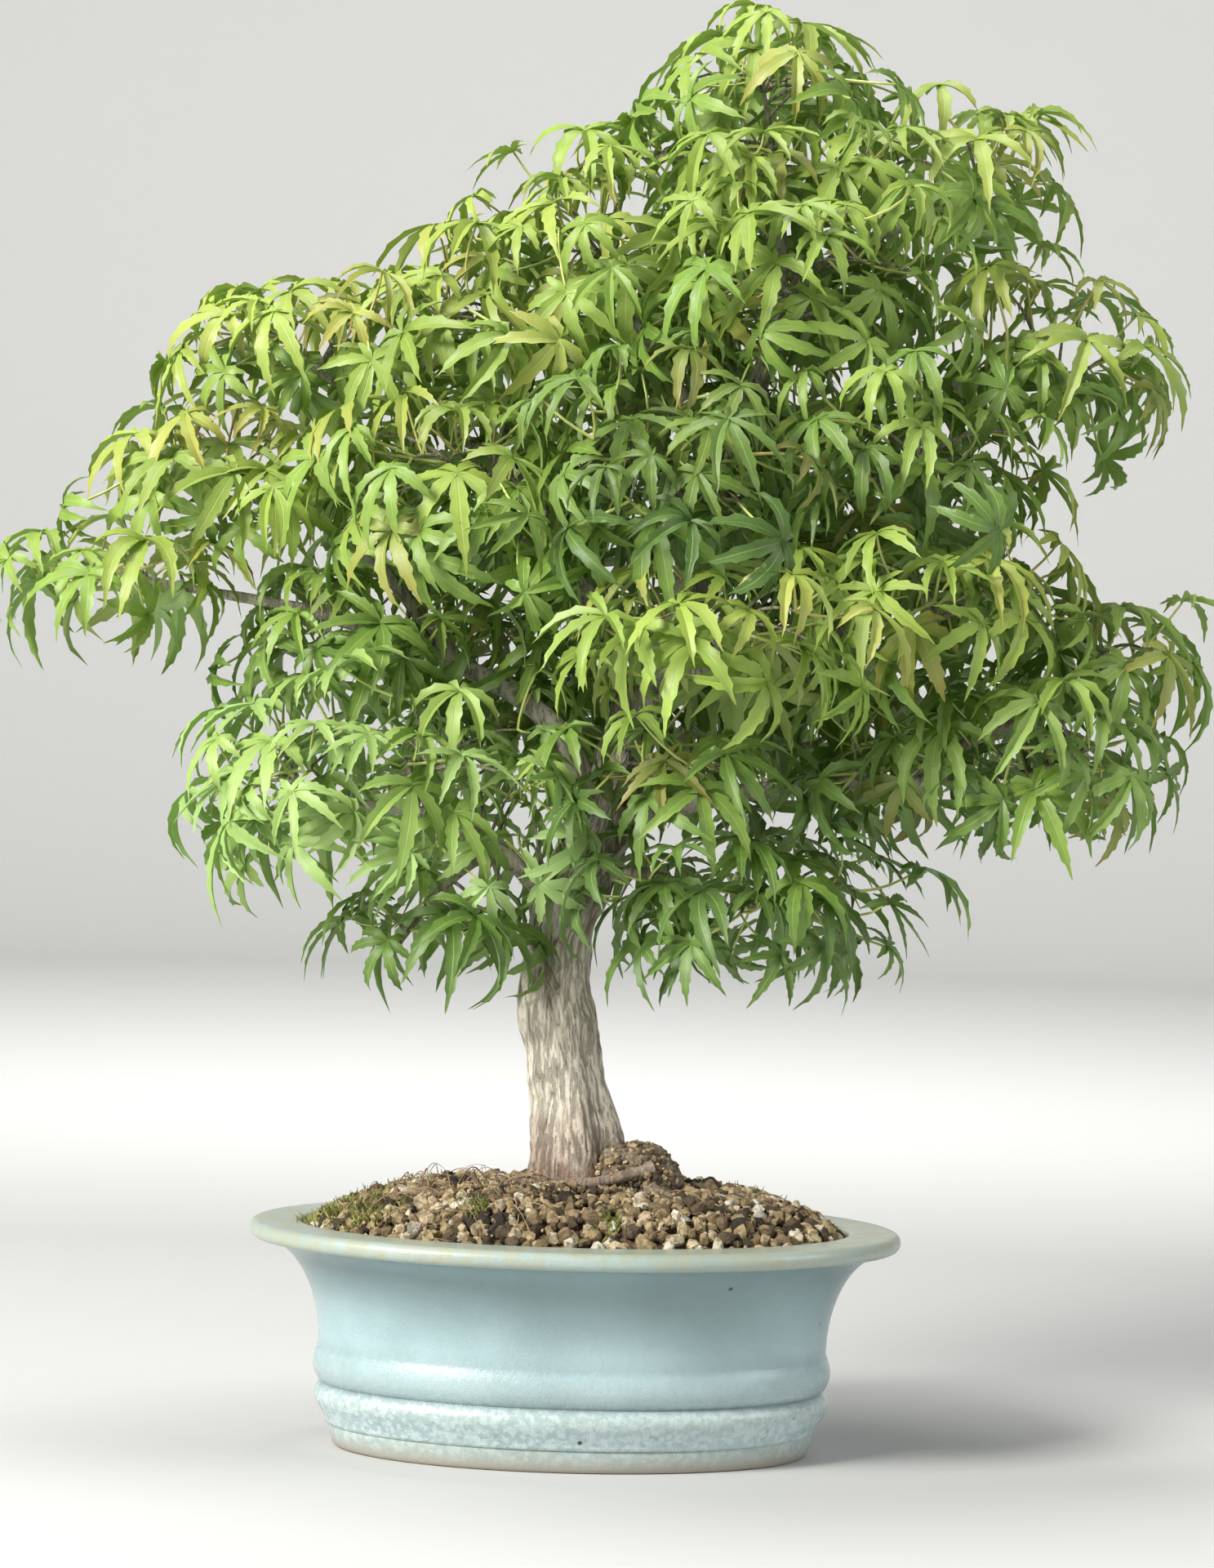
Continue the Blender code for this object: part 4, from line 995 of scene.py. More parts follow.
@dataclass
class SoilBed:
    """The soil: its mass, the granules on top, moss, and fine roots that lie on it."""

    pot: PotSizes
    edge_height: float = 0.0665
    rise: float = 0.0150
    floor_rise: float = 0.0044
    sides: int = 128
    granules: int = 1500
    fines: int = 1450
    sunk: float = 0.0012
    trunk_hole: tuple[float, float] = (0.017, 0.015)
    crumb_count: int = 330

    def height(self, share: Array) -> Array:
        """Height at a share of the way out to the wall: the edge's plus rise times
        (1 - share to the fourth)."""
        return self.edge_height + self.rise * (1 - share**4)

    def reach(self) -> tuple[float, float]:
        """The half length and half width of the soil's top at the pot's wall."""
        inset = self.pot.inner_inset + self.pot.wall_bow * 0.3 + 2 * GAP
        return self.pot.half_length - inset, self.pot.half_width - inset

    def spots(self, count: int, rng: np.random.Generator, loose: float) -> tuple[Array, Array]:
        """Places spread evenly over the top: a sunflower spiral, each a little astray.

        Args:
            count: how many.
            rng: the random numbers.
            loose: how far astray, as a share of the mean spacing.

        Returns:
            The places and each one's share of the way out to the wall.
        """
        number = np.arange(count)
        share = np.sqrt((number + 0.5) / count) + rng.normal(0, loose / math.sqrt(count), count)
        share = np.clip(share, 0, 0.985)
        turn = number * GOLDEN_ANGLE + rng.normal(0, loose * 0.03, count)
        length, width = self.reach()
        places = np.stack([length * share * np.cos(turn), width * share * np.sin(turn),
                           self.height(share)], axis=-1)
        return places, share

    def scatter(self, shell: Shell, places: Array, sizes: Array, tones: Array, columns: int,
                seed: int) -> None:
        """Add granules: the plain ball, each point moved in or out at random, then stretched
        along three axes, turned and moved to its place.

        Args:
            shell: the piece that they join.
            places: where each lies.
            sizes: each one's mean radius.
            tones: each one's tone, from 0 to 1.
            columns: how many sides each has round its middle.
            seed: the number that fixes the draw.
        """
        rng = np.random.default_rng(seed)
        ball, faces = globe(columns // 2, columns)
        count = len(places)
        rough = rng.uniform(0.70, 1.20, size=(count, len(ball), 1))
        axes = rng.uniform(0.66, 1.28, size=(count, 1, 3))
        shape = ball[None] * rough * axes * sizes[:, None, None]
        turn, _ = np.linalg.qr(rng.normal(size=(count, 3, 3)))
        turn[:, :, 0] *= np.sign(np.linalg.det(turn))[:, None]
        points = np.einsum("gvi,gji->gvj", shape, turn) + places[:, None]
        groups = [repeat_faces(group, count, len(ball)) for group in faces]
        shell.add(points.reshape(-1, 3), groups, tone=np.repeat(tones, len(ball)))

    def mass(self, finish: Material) -> Object:
        """Make the soil mass, down to the drain screens.

        Args:
            finish: the granules' material.

        Returns:
            The piece.
        """
        wall = self.pot.inner_wall()
        floor = (wall[3, 0] + GAP, self.pot.floor_height + self.floor_rise)
        side = np.vstack([(0.066, floor[1]), floor, wall[2::-1] + (GAP, 0)])
        rings = self.pot.oval(side[:, 0], side[:, 1], self.sides)
        length, width = self.reach()
        share = np.linspace(1, 0.03, 34)
        top = ovals(length * share, width * share, self.height(share), self.sides)
        top[..., 2] -= self.sunk
        top[1:, :, 2] += 0.0008 * ripple(top[1:], 0.006, SEED + 1)
        rings = np.concatenate([rings, top])
        poles = np.array([(0, 0, floor[1]), (0, 0, self.height(np.array(0.0)) - self.sunk)])
        points = np.concatenate([rings.reshape(-1, 3), poles])
        shell = Shell()
        tone = 0.30 + 0.16 * ripple(points, 0.004, SEED + 2)
        shell.add(points, strip_faces(len(rings), self.sides), tone=tone)
        return shell.build("soil_mass", [finish], 60)

    def grains(self, finish: Material) -> Object:
        """Make the granules on top.

        Args:
            finish: their material.

        Returns:
            The piece.
        """
        rng = np.random.default_rng(SEED + 3)
        shell = Shell()
        for count, low, high, loose, lift, columns in (
            (self.granules, 0.0015, 0.0029, 0.6, 0.0002, 8), (self.fines, 0.0005, 0.0013, 1.2, 0.0009, 6),
        ):
            places, share = self.spots(count, rng, loose)
            sizes = rng.uniform(low, high, count)
            tones = rng.beta(1.25, 1.35, count) + 0.20 * ripple(places, 0.030, SEED + 4)
            front = np.clip(-places[:, 1] / 0.05, 0, 1) * share
            tones = np.clip(tones + 0.08 * front - 0.10 * (columns < 8), 0, 0.99)
            places = places + np.stack([rng.normal(0, 0.0004, count), rng.normal(0, 0.0004, count),
                                        rng.uniform(-0.0006, 0.0012, count) + lift], axis=-1)
            keep = np.linalg.norm(places[:, :2] / self.trunk_hole, axis=1) > 0.8
            self.scatter(shell, places[keep], sizes[keep], tones[keep], columns, SEED + 5 + count)
        self.crumbs(shell)
        return shell.build("soil_granules", [finish], 34)

    def crumbs(self, shell: Shell) -> None:
        """Add crumbs of soil that cling to the root lump and bank up before the trunk's foot:
        on the lump at its centre plus its half sizes times a direction, and on the bank at the
        soil's height plus a bell about its middle.

        Args:
            shell: the piece that they join.
        """
        rng = np.random.default_rng(SEED + 8)
        count = self.crumb_count
        out = unit(rng.normal(size=(count, 3)) * (1, 1, 0.8))
        out[:, 2] = np.abs(out[:, 2])
        out[:, 1] = -np.abs(out[:, 1]) * np.sign(rng.random(count) - 0.25)
        sizes = WoodSizes()
        on_lump = out * sizes.lump_half * rng.uniform(0.97, 1.03, (count, 1)) + sizes.lump_centre
        off = rng.normal(0, 1, (count, 2)) * (0.50, 0.30)
        bank = np.column_stack([
            0.030 * off[:, 0], -0.0185 + 0.020 * off[:, 1],
            self.height(np.array(0.2)) + 0.0030 * np.exp(-np.sum(off**2, axis=1) * 2) + 0.0004,
        ])
        for number, places in enumerate((on_lump, bank)):
            tones = np.clip(rng.beta(1.4, 2.2, count) + 0.04, 0, 0.9)
            self.scatter(shell, places, rng.uniform(0.0005, 0.0013, count), tones, 6, SEED + 60 + number)

    def build(self) -> None:
        """Make every piece of the soil."""
        finish = SoilFinish().material()
        for piece in (self.mass(finish), self.grains(finish), self.moss(), self.fine_roots()):
            settle(piece, Slot.SOIL.value, "soil")

    def moss(self) -> Object:
        """Make tufts of moss: thin cones that stand and lean out from the middle of each patch.

        Returns:
            The piece.
        """
        rng = np.random.default_rng(SEED + 6)
        patches = np.array([
            (-0.071, -0.008, 0.011, 330), (-0.062, -0.024, 0.007, 150), (-0.052, 0.020, 0.012, 200),
            (0.030, 0.034, 0.012, 150), (0.010, -0.044, 0.004, 60), (-0.030, -0.034, 0.005, 70),
            (0.055, 0.018, 0.009, 90),
        ])
        counts = patches[:, 3].astype(int)
        centres = np.repeat(patches[:, :2], counts, axis=0)
        spread = rng.normal(0, 0.5, size=centres.shape) * np.repeat(patches[:, 2], counts)[:, None]
        feet = centres + spread
        length, width = self.reach()
        share = np.clip(np.hypot(feet[:, 0] / length, feet[:, 1] / width), 0, 0.98)
        base = np.column_stack([feet, self.height(share) + 0.0008])
        lean = np.column_stack([spread * 60 + rng.normal(0, 0.5, spread.shape), np.ones(len(feet))])
        tall = rng.uniform(0.0018, 0.0046, len(feet))
        tip = base + unit(lean) * tall[:, None]
        lines = np.stack([base, 0.5 * (base + tip) + rng.normal(0, 0.0001, base.shape), tip], axis=1)
        radii = np.tile((0.00040, 0.00030, 0.00008), (len(feet), 1))
        shell = Shell()
        shell.tubes(lines, radii, 3)
        finish = PlainFinish("moss", rgb(0.17, 0.19, 0.045), rgb(0.33, 0.35, 0.09), 0.9)
        return shell.build("moss_tufts", [finish.material()], 70)

    def fine_roots(self) -> Object:
        """Make the fine roots and fibres on the soil: each a wavering line that follows the
        soil's height, lifted in the middle by a small hump.

        Returns:
            The piece.
        """
        rng = np.random.default_rng(SEED + 7)
        count, knots, clump = 190, 9, 80
        t = np.linspace(0, 1, knots)
        places, _ = self.spots(count, rng, 2.0)
        start = places[:, :2] * 0.94
        start[:clump] = rng.normal(0, 1, (clump, 2)) * (0.016, 0.010) + (-0.036, -0.010)
        heading = rng.uniform(0, math.tau, count)
        long = rng.uniform(0.006, 0.022, count)
        sway = rng.normal(0, 0.9, size=(count, 1)) * t + 0.3 * np.sin(
            math.tau * t * rng.uniform(0.6, 1.6, (count, 1)) + rng.uniform(0, math.tau, (count, 1)))
        step = long[:, None] / (knots - 1)
        x = start[:, :1] + np.cumsum(step * np.cos(heading[:, None] + sway), axis=1)
        y = start[:, 1:] + np.cumsum(step * np.sin(heading[:, None] + sway), axis=1)
        length, width = self.reach()
        share = np.hypot(x / length, y / width)
        over = np.maximum(share / 0.97, 1.0)
        x, y = x / over, y / over
        tall = np.where(np.arange(count)[:, None] < clump, 0.0065, 0.0038)
        hump = tall * rng.uniform(0.2, 1.0, (count, 1)) ** 1.5 * np.sin(math.pi * t)
        z = self.height(np.minimum(share, 0.97)) + 0.0012 + hump
        lines = np.stack([x, y, z], axis=-1)
        radii = rng.uniform(0.00012, 0.00030, (count, 1)) * (1 - 0.6 * t)
        shell = Shell()
        shell.tubes(lines, radii, 5)
        finish = PlainFinish("fine_roots", rgb(0.22, 0.14, 0.08), rgb(0.40, 0.29, 0.18), 0.8)
        return shell.build("fine_roots", [finish.material()], 60)


# Wood


@dataclass(frozen=True)
class WoodSizes:
    """The trunk's levels, the surface roots and the limbs, as the frame's solids have them."""

    trunk: tuple[tuple[Point, float], ...] = (
        ((0.001, 0.0, 0.064), 0.012), ((0.001, 0.0, 0.08), 0.0158), ((0.0004, 0.0, 0.086), 0.015),
        ((-0.0004, 0.0, 0.095), 0.014), ((-0.0022, 0.0, 0.107), 0.0124), ((-0.0049, 0.0, 0.121), 0.0115),
        ((-0.0076, 0.0004, 0.134), 0.0119), ((-0.0087, 0.0008, 0.146), 0.0109),
        ((-0.0072, 0.0014, 0.159), 0.0098), ((-0.005, 0.002, 0.171), 0.0114),
        ((-0.0004, 0.0026, 0.182), 0.0114), ((0.0042, 0.0044, 0.197), 0.0092),
        ((0.0118, 0.0058, 0.223), 0.0076), ((0.0228, 0.006, 0.254), 0.0066),
    )
    flutes: int = 5
    flute_depth: float = 0.16
    flute_fade: float = 0.045
    soil_edge: float = 0.0665
    lump_centre: Point = (0.017, -0.005, 0.0835)
    lump_half: Point = (0.0155, 0.014, 0.0132)
    roots: tuple[tuple[Line, float], ...] = (
        (((-0.008, -0.004, 0.085), (-0.023, -0.008, 0.0815), (-0.042, -0.009, 0.076)), 0.0032),
        (((-0.004, -0.009, 0.084), (-0.01, -0.023, 0.08), (-0.019, -0.038, 0.0725)), 0.0028),
        (((0.016, -0.012, 0.086), (0.03, -0.023, 0.08), (0.044, -0.031, 0.072)), 0.003),
        (((0.004, 0.009, 0.085), (0.013, 0.022, 0.08), (0.024, 0.038, 0.072)), 0.003),
        (((-0.007, 0.008, 0.085), (-0.02, 0.02, 0.08), (-0.035, 0.03, 0.0735)), 0.0028),
    )
    front_roots: tuple[tuple[Line, float], ...] = (
        (((0.023, -0.015, 0.09), (0.01, -0.0205, 0.0865), (-0.004, -0.0205, 0.084),
          (-0.022, -0.0215, 0.0805), (-0.04, -0.02, 0.0765)), 0.0019),
        (((0.001, -0.0215, 0.083), (-0.013, -0.025, 0.0805), (-0.029, -0.0265, 0.078)), 0.001),
        (((0.012, -0.019, 0.086), (-0.002, -0.018, 0.0855), (-0.018, -0.0165, 0.083)), 0.0012),
    )
    shoots: tuple[tuple[Line, float], ...] = (
        (((-0.008, -0.0098, 0.144), (-0.015, -0.0122, 0.157), (-0.0232, -0.0118, 0.169),
          (-0.03, -0.009, 0.189), (-0.033, -0.007, 0.204)), 0.0012),
        (((-0.003, -0.008, 0.166), (-0.012, -0.015, 0.179), (-0.016, -0.017, 0.196)), 0.0009),
        (((0.006, -0.006, 0.18), (0.015, -0.016, 0.193), (0.018, -0.02, 0.208)), 0.001),
    )
    limb_tip: float = 0.0013
    twig_radius: float = 0.0009
    twig_tip: float = 0.0007


LIMBS: dict[str, tuple[Line, float]] = {
    "leader": (((0.0215, 0.006, 0.25), (0.036, 0.004, 0.29), (0.049, 0.0, 0.33), (0.056, 0.0, 0.365),
        (0.052, 0.0, 0.406)), 0.0056),
    "apex_left": (((0.054, 0.0, 0.388), (0.025, 0.0, 0.401), (0.006, 0.0, 0.403)), 0.0018),
    "upper_right": (((0.055, 0.0, 0.358), (0.08, 0.002, 0.377), (0.105, 0.004, 0.387)), 0.0028),
    "upper_left": (((0.04, 0.003, 0.304), (0.023, 0.0, 0.334), (0.006, 0.0, 0.358)), 0.0032),
    "front_upper": (((0.044, 0.001, 0.316), (0.052, -0.018, 0.338), (0.06, -0.034, 0.35)), 0.003),
    "left_shoulder": (((0.019, 0.006, 0.244), (-0.007, 0.014, 0.279), (-0.033, 0.014, 0.309),
        (-0.08, 0.008, 0.329)), 0.004),
    "long_left": (((0.002, 0.005, 0.202), (-0.013, 0.002, 0.227), (-0.045, 0.008, 0.245),
        (-0.085, 0.004, 0.258), (-0.127, 0.0, 0.265)), 0.0046),
    "left_middle": (((-0.04, 0.007, 0.2422), (-0.074, 0.006, 0.28), (-0.106, 0.002, 0.293)), 0.0026),
    "front_left": (((0.021, 0.005, 0.248), (-0.008, -0.014, 0.272), (-0.038, -0.026, 0.288)), 0.0034),
    "front_centre": (((0.036, 0.004, 0.287), (0.028, -0.022, 0.295), (0.022, -0.042, 0.296)), 0.003),
    "front_middle": (((0.017, 0.005, 0.236), (0.024, -0.022, 0.244), (0.036, -0.05, 0.248)), 0.0034),
    "right_shoulder": (((0.042, 0.002, 0.31), (0.07, 0.002, 0.325), (0.103, 0.004, 0.334),
        (0.132, 0.005, 0.336)), 0.0038),
    "right_centre": (((0.037, 0.003, 0.293), (0.062, -0.012, 0.299), (0.088, -0.022, 0.301)), 0.0032),
    "right_middle": (((0.015, 0.006, 0.231), (0.044, -0.018, 0.248), (0.078, -0.03, 0.257),
        (0.103, -0.035, 0.26)), 0.0038),
    "low_right": (((0.002, 0.004, 0.193), (0.03, -0.006, 0.202), (0.062, -0.012, 0.208),
        (0.098, -0.016, 0.211), (0.126, -0.016, 0.213)), 0.0044),
    "low_left": (((-0.006, 0.002, 0.168), (-0.024, -0.006, 0.184), (-0.046, -0.012, 0.196),
        (-0.074, -0.012, 0.2)), 0.0042),
    "under_left": (((-0.029, -0.008, 0.187), (-0.042, -0.004, 0.176), (-0.05, -0.004, 0.166)), 0.002),
    "under_right": (((0.0, 0.002, 0.178), (0.02, -0.008, 0.18), (0.044, -0.012, 0.171)), 0.0026),
    "heart": (((0.017, 0.0, 0.1975), (0.021, -0.013, 0.205), (0.024, -0.025, 0.209)), 0.0022),
    "right_flank": (((0.096, -0.016, 0.211), (0.124, -0.008, 0.227), (0.148, -0.004, 0.239)), 0.0024),
    "back_low": (((0.008, 0.005, 0.213), (0.008, 0.034, 0.228), (0.0, 0.056, 0.234)), 0.0034),
    "back_low_right": (((0.004, 0.006, 0.2), (0.038, 0.03, 0.214), (0.072, 0.044, 0.221)), 0.0034),
    "back_left": (((0.021, 0.006, 0.249), (-0.012, 0.038, 0.272), (-0.046, 0.054, 0.284)), 0.0036),
    "back_right": (((0.028, 0.005, 0.267), (0.058, 0.034, 0.278), (0.086, 0.052, 0.283)), 0.0036),
    "back_upper": (((0.049, 0.0, 0.33), (0.042, 0.028, 0.342), (0.034, 0.048, 0.346)), 0.003),
}


def limb_radii(line: Line, thick: float, tip: float) -> list[float]:
    """Radius at each point of a limb, thinning to its tip: thick + (tip - thick) t^0.8."""
    last = len(line) - 1
    return [thick + (tip - thick) * (i / last) ** 0.8 for i in range(last + 1)]


@dataclass
class MapleWood:
    """The trunk, its root lump and surface roots, and the limbs."""

    sizes: WoodSizes
    trunk_sides: int = 180
    trunk_rings: int = 166
    furrow_pitch: float = 0.0031
    furrow_width: float = 0.24
    furrow_depth: float = 0.00055
    crease_depth: float = 0.0016
    foot_top: float = 0.112
    foot_fade: float = 0.026
    # the upper trunk darkens from here: grey-green bark and painted shadow of the crown
    high_start: float = 0.148
    high_fade: float = 0.028

    def trunk(self, finish: Material) -> Object:
        """Make the trunk: each ring is its level's centre plus, at turn a, the half width times
        1 + flute cos(5 a + 0.9) + 0.03 cos(2 a - 0.6), less the depth of the bark's furrows,
        which lie where a noise drawn out along the trunk crosses zero.

        Args:
            finish: the bark.

        Returns:
            The piece.
        """
        s = self.sizes
        levels = np.array([(*centre, half) for centre, half in s.trunk])
        line = smooth_line(levels, self.trunk_rings)
        centre, half = line[:, :3], line[:, 3]
        turn = turns(self.trunk_sides)
        above = np.maximum(centre[:, 2] - s.soil_edge, 0)
        flute = s.flute_depth * np.exp(-above / s.flute_fade)
        wave = 1 + flute[:, None] * np.cos(s.flutes * turn + 0.9) + 0.03 * np.cos(2 * turn - 0.6)
        around = np.stack([np.cos(turn), np.sin(turn)], axis=-1) * 0.011
        spot = np.concatenate([
            np.broadcast_to(around, (self.trunk_rings, *around.shape)),
            np.broadcast_to(centre[:, None, 2:], (self.trunk_rings, self.trunk_sides, 1)),
        ], axis=-1)
        wander = spot + 0.0007 * ripple(spot, 0.016, SEED + 20)[..., None] * (1, 0.6, 0)
        breaks = np.clip(0.70 + 1.2 * ripple(spot * (1, 1, 0.4), 0.005, SEED + 22), 0, 1)
        furrow = self.cracks(wander * (1, 1, 0.08), self.furrow_pitch, SEED + 21) * breaks
        finer = self.cracks(wander * (1, 1, 0.12), 0.6 * self.furrow_pitch, SEED + 19)
        furrow = np.maximum(furrow, 0.6 * finer)
        lumps = 0.0006 * ripple(spot, 0.014, SEED + 23) + 0.0002 * ripple(spot, 0.004, SEED + 24)
        crease = self.crease(turn, centre[:, 2])
        reach = half[:, None] * wave - self.furrow_depth * furrow + lumps - self.crease_depth * crease
        ring = np.stack([
            centre[:, :1] + reach * np.cos(turn),
            centre[:, 1:2] + reach * np.sin(turn),
            np.broadcast_to(centre[:, 2:], reach.shape),
        ], axis=-1)
        ends = centre[[0, -1]] + np.array([(0, 0, -0.001), (0, 0, 0.001)])
        foot = np.clip((self.foot_top - centre[:, 2]) / self.foot_fade, 0, 1)[:, None]
        foot = np.clip(foot + 0.25 * ripple(spot, 0.010, SEED + 25) * (foot > 0.02), 0, 1)
        # darker above this height: grey-green bark and painted shadow of the crown
        high = np.clip((centre[:, 2] - self.high_start) / self.high_fade, 0, 1)[:, None]
        high = np.clip(high * (0.85 + 0.5 * ripple(spot, 0.012, SEED + 26)), 0, 1)
        values = {"furrow": np.clip(furrow + 0.7 * crease, 0, 1), "foot": foot, "high": high}
        packed = {name: np.append(value.ravel(), [0.0, 0.0]) for name, value in values.items()}
        shell = Shell()
        points = np.concatenate([ring.reshape(-1, 3), ends])
        shell.add(points, strip_faces(self.trunk_rings, self.trunk_sides), **packed)
        return shell.build("trunk", [finish], 75)

    def cracks(self, places: Array, pitch: float, seed: int) -> Array:
        """Cracks where a noise crosses zero: 1 less its size over the cracks' width."""
        return np.clip(1 - np.abs(ripple(places, pitch, seed, 22)) / self.furrow_width, 0, 1)

    def crease(self, turn: Array, height: Array) -> Array:
        """The old cut's sunken fold on the upper trunk: a bell in turn and height about a line
        that climbs from the front to the left.

        Args:
            turn: the turns of a ring's points.
            height: the rings' heights.

        Returns:
            Its depth from 0 to 1, for each ring and turn.
        """
        middle = math.radians(262) - (height[:, None] - 0.142) * 14
        off = np.angle(np.exp(1j * (turn[None] - middle)))
        fade = np.exp(-((height[:, None] - 0.147) / 0.016) ** 2)
        return np.exp(-((off / 0.20) ** 2)) * fade

    def lump(self, shell: Shell) -> None:
        """Add the root lump: a ball stretched to its half sizes, its surface moved by noise.

        Args:
            shell: the piece that it joins.
        """
        ball, faces = globe(52, 84)
        half = np.array(self.sizes.lump_half)
        place = ball * half
        knots = ripple(place, 0.010, SEED + 27)
        crumbs = ripple(place, 0.0026, SEED + 28) + 0.6 * ripple(place, 0.0014, SEED + 31)
        swell = 1 + 0.06 * knots + 0.035 * crumbs
        points = place * swell[:, None] + self.sizes.lump_centre
        furrow = np.clip(0.42 - 0.55 * crumbs, 0, 1)
        foot = np.clip(0.75 - 0.35 * knots, 0, 1)
        shell.add(points, faces, furrow=furrow, foot=foot, soiled=np.clip(0.75 + 0.3 * crumbs, 0, 1))

    def root_and_limb_tubes(self, shell: Shell, forms: list[tuple[Line, list[float]]], foot: float,
                            soiled: float) -> None:
        """Add tapered tubes with a flared start and bark relief.

        Args:
            shell: the piece that they join.
            forms: each tube's points and its radius at each.
            foot: how much they have the colour of the trunk's foot.
            soiled: how much soil sticks to them.
        """
        rings = 40
        t = np.linspace(0, 1, rings)
        lines = np.stack([smooth_line(np.array(line), rings) for line, _ in forms])
        radii = np.stack([np.interp(t, np.linspace(0, 1, len(thick)), thick) for _, thick in forms])
        radii *= 1 + 0.35 * np.exp(-t / 0.05)
        joints = np.abs(ripple(lines, 0.016, SEED + 29))
        radii *= 1 + 0.10 * np.clip(1 - joints * 6, 0, 1) + 0.05 * ripple(lines, 0.007, SEED + 30)
        count = len(forms)
        # limbs in the crown take the darker upper colour: grey-green bark and painted shadow
        high = np.full(count, 0.55 if foot < 0.5 else 0.0)
        young = np.clip((0.0042 - radii[:, 0]) / 0.003, 0, 0.8) if foot < 0.5 else np.zeros(count)
        shell.tubes(lines, radii, 14, foot=np.full(count, foot), high=high, young=young,
                    furrow=np.full(count, 0.12), soiled=np.full(count, soiled))

    def build(self) -> None:
        """Make every piece of wood."""
        finish = BarkFinish().material()
        node = "trunk_and_branches"
        settle(self.trunk(finish), Slot.BARK.value, node)
        roots = Shell()
        self.lump(roots)
        for lines, spoilt in ((self.sizes.roots, 0.5), (self.sizes.front_roots, 0.25)):
            forms = [(line, [radius, radius * 0.72, radius * 0.40]) for line, radius in lines]
            self.root_and_limb_tubes(roots, forms, 0.9, spoilt)
        settle(roots.build("root_lump", [finish], 75), Slot.BARK.value, node)
        limbs = Shell()
        tip = self.sizes.limb_tip
        forms = [(line, limb_radii(line, thick, tip)) for line, thick in LIMBS.values()]
        forms += [(line, [thick, 0.8 * thick, 0.5 * thick]) for line, thick in self.sizes.shoots]
        self.root_and_limb_tubes(limbs, forms, 0.0, 0.0)
        settle(limbs.build("limbs", [finish], 60), Slot.BARK.value, node)


# Crown: where the leaves are


@dataclass(frozen=True)
class Pad:
    """A pad of foliage: its limb, its ellipsoid, how young and how lit its leaves are painted, how blushed,
    and how much mint tint and painted sheen they have.
    """

    limb: str
    centre: Point
    half: Point
    age: float = 0.5
    blush: float = 0.1
    cool: float = 0.1


# each pad sets how old and lit its leaves are painted: partly their growth, partly painted light and shade,
# darker under the crown and in its middle; its mint tint is partly a painted sheen
PADS: dict[str, Pad] = {
    "apex": Pad("leader", (0.051, 0.0, 0.427), (0.029, 0.028, 0.019), 0.8, 0.15),
    "apex_left": Pad("apex_left", (-0.006, 0.0, 0.406), (0.004, 0.004, 0.003), 0.7, 0.05),
    "crown_neck": Pad("leader", (0.064, 0.0, 0.397), (0.044, 0.034, 0.017), 0.76, 0.15),
    "upper_right": Pad("upper_right", (0.116, 0.005, 0.4), (0.027, 0.03, 0.019), 0.75, 0.25),
    "upper_left": Pad("upper_left", (0.002, 0.0, 0.372), (0.03, 0.034, 0.022), 0.8, 0.3),
    "upper_centre": Pad("front_upper", (0.061, -0.015, 0.364), (0.035, 0.04, 0.025), 0.68, 0.12),
    "left_slope": Pad("left_shoulder", (-0.038, 0.004, 0.348), (0.034, 0.034, 0.02), 0.78, 0.35),
    "left_shoulder": Pad("left_shoulder", (-0.083, 0.008, 0.343), (0.044, 0.034, 0.019), 0.82, 0.6),
    "left_middle": Pad("left_middle", (-0.117, 0.002, 0.303), (0.034, 0.03, 0.018), 0.76, 0.42),
    "long_left": Pad("long_left", (-0.1465, 0.0, 0.269), (0.031, 0.026, 0.015), 0.67, 0.15),
    "left_low_centre": Pad("long_left", (-0.07, 0.005, 0.255), (0.038, 0.03, 0.02), 0.45),
    "front_left": Pad("front_left", (-0.042, -0.025, 0.296), (0.035, 0.038, 0.03), 0.55, 0.22),
    "front_centre": Pad("front_centre", (0.022, -0.044, 0.3), (0.031, 0.034, 0.027), 0.24, 0.1),
    "front_middle": Pad("front_middle", (0.038, -0.059, 0.254), (0.029, 0.03, 0.019), 0.92, 0.3),
    "right_shoulder": Pad("right_shoulder", (0.141, 0.005, 0.343), (0.032, 0.032, 0.024), 0.6, 0.25),
    "right_centre": Pad("right_centre", (0.09, -0.02, 0.307), (0.035, 0.036, 0.022), 0.45, 0.08),
    "right_middle": Pad("right_middle", (0.107, -0.035, 0.266), (0.031, 0.032, 0.019), 0.8, 0.28),
    "low_right": Pad("low_right", (0.131, -0.015, 0.221), (0.044, 0.038, 0.024), 0.38, 0.06, 0.2),
    "right_flank": Pad("right_flank", (0.1535, -0.004, 0.251), (0.026, 0.032, 0.018), 0.5, 0.1),
    "heart": Pad("heart", (0.026, -0.024, 0.212), (0.024, 0.024, 0.015), 0.3),
    "low_left": Pad("low_left", (-0.07, -0.012, 0.206), (0.047, 0.038, 0.029), 0.78, 0.0, 0.66),
    "under_left": Pad("under_left", (-0.05, -0.005, 0.165), (0.023, 0.024, 0.015), 0.22, 0.0, 0.2),
    "under_right": Pad("under_right", (0.05, -0.012, 0.17), (0.037, 0.03, 0.02), 0.14, 0.0, 0.15),
    "back_low": Pad("back_low", (0.0, 0.054, 0.238), (0.034, 0.03, 0.02), 0.4),
    "back_low_right": Pad("back_low_right", (0.075, 0.048, 0.226), (0.034, 0.03, 0.02), 0.4),
    "back_left": Pad("back_left", (-0.05, 0.053, 0.29), (0.038, 0.034, 0.024), 0.6, 0.2),
    "back_right": Pad("back_right", (0.088, 0.051, 0.288), (0.04, 0.034, 0.024), 0.55, 0.15),
    "back_upper": Pad("back_upper", (0.034, 0.05, 0.35), (0.034, 0.032, 0.022), 0.7, 0.2),
}

PAD_CENTRES = np.array([pad.centre for pad in PADS.values()])
PAD_HALVES = np.array([pad.half for pad in PADS.values()])

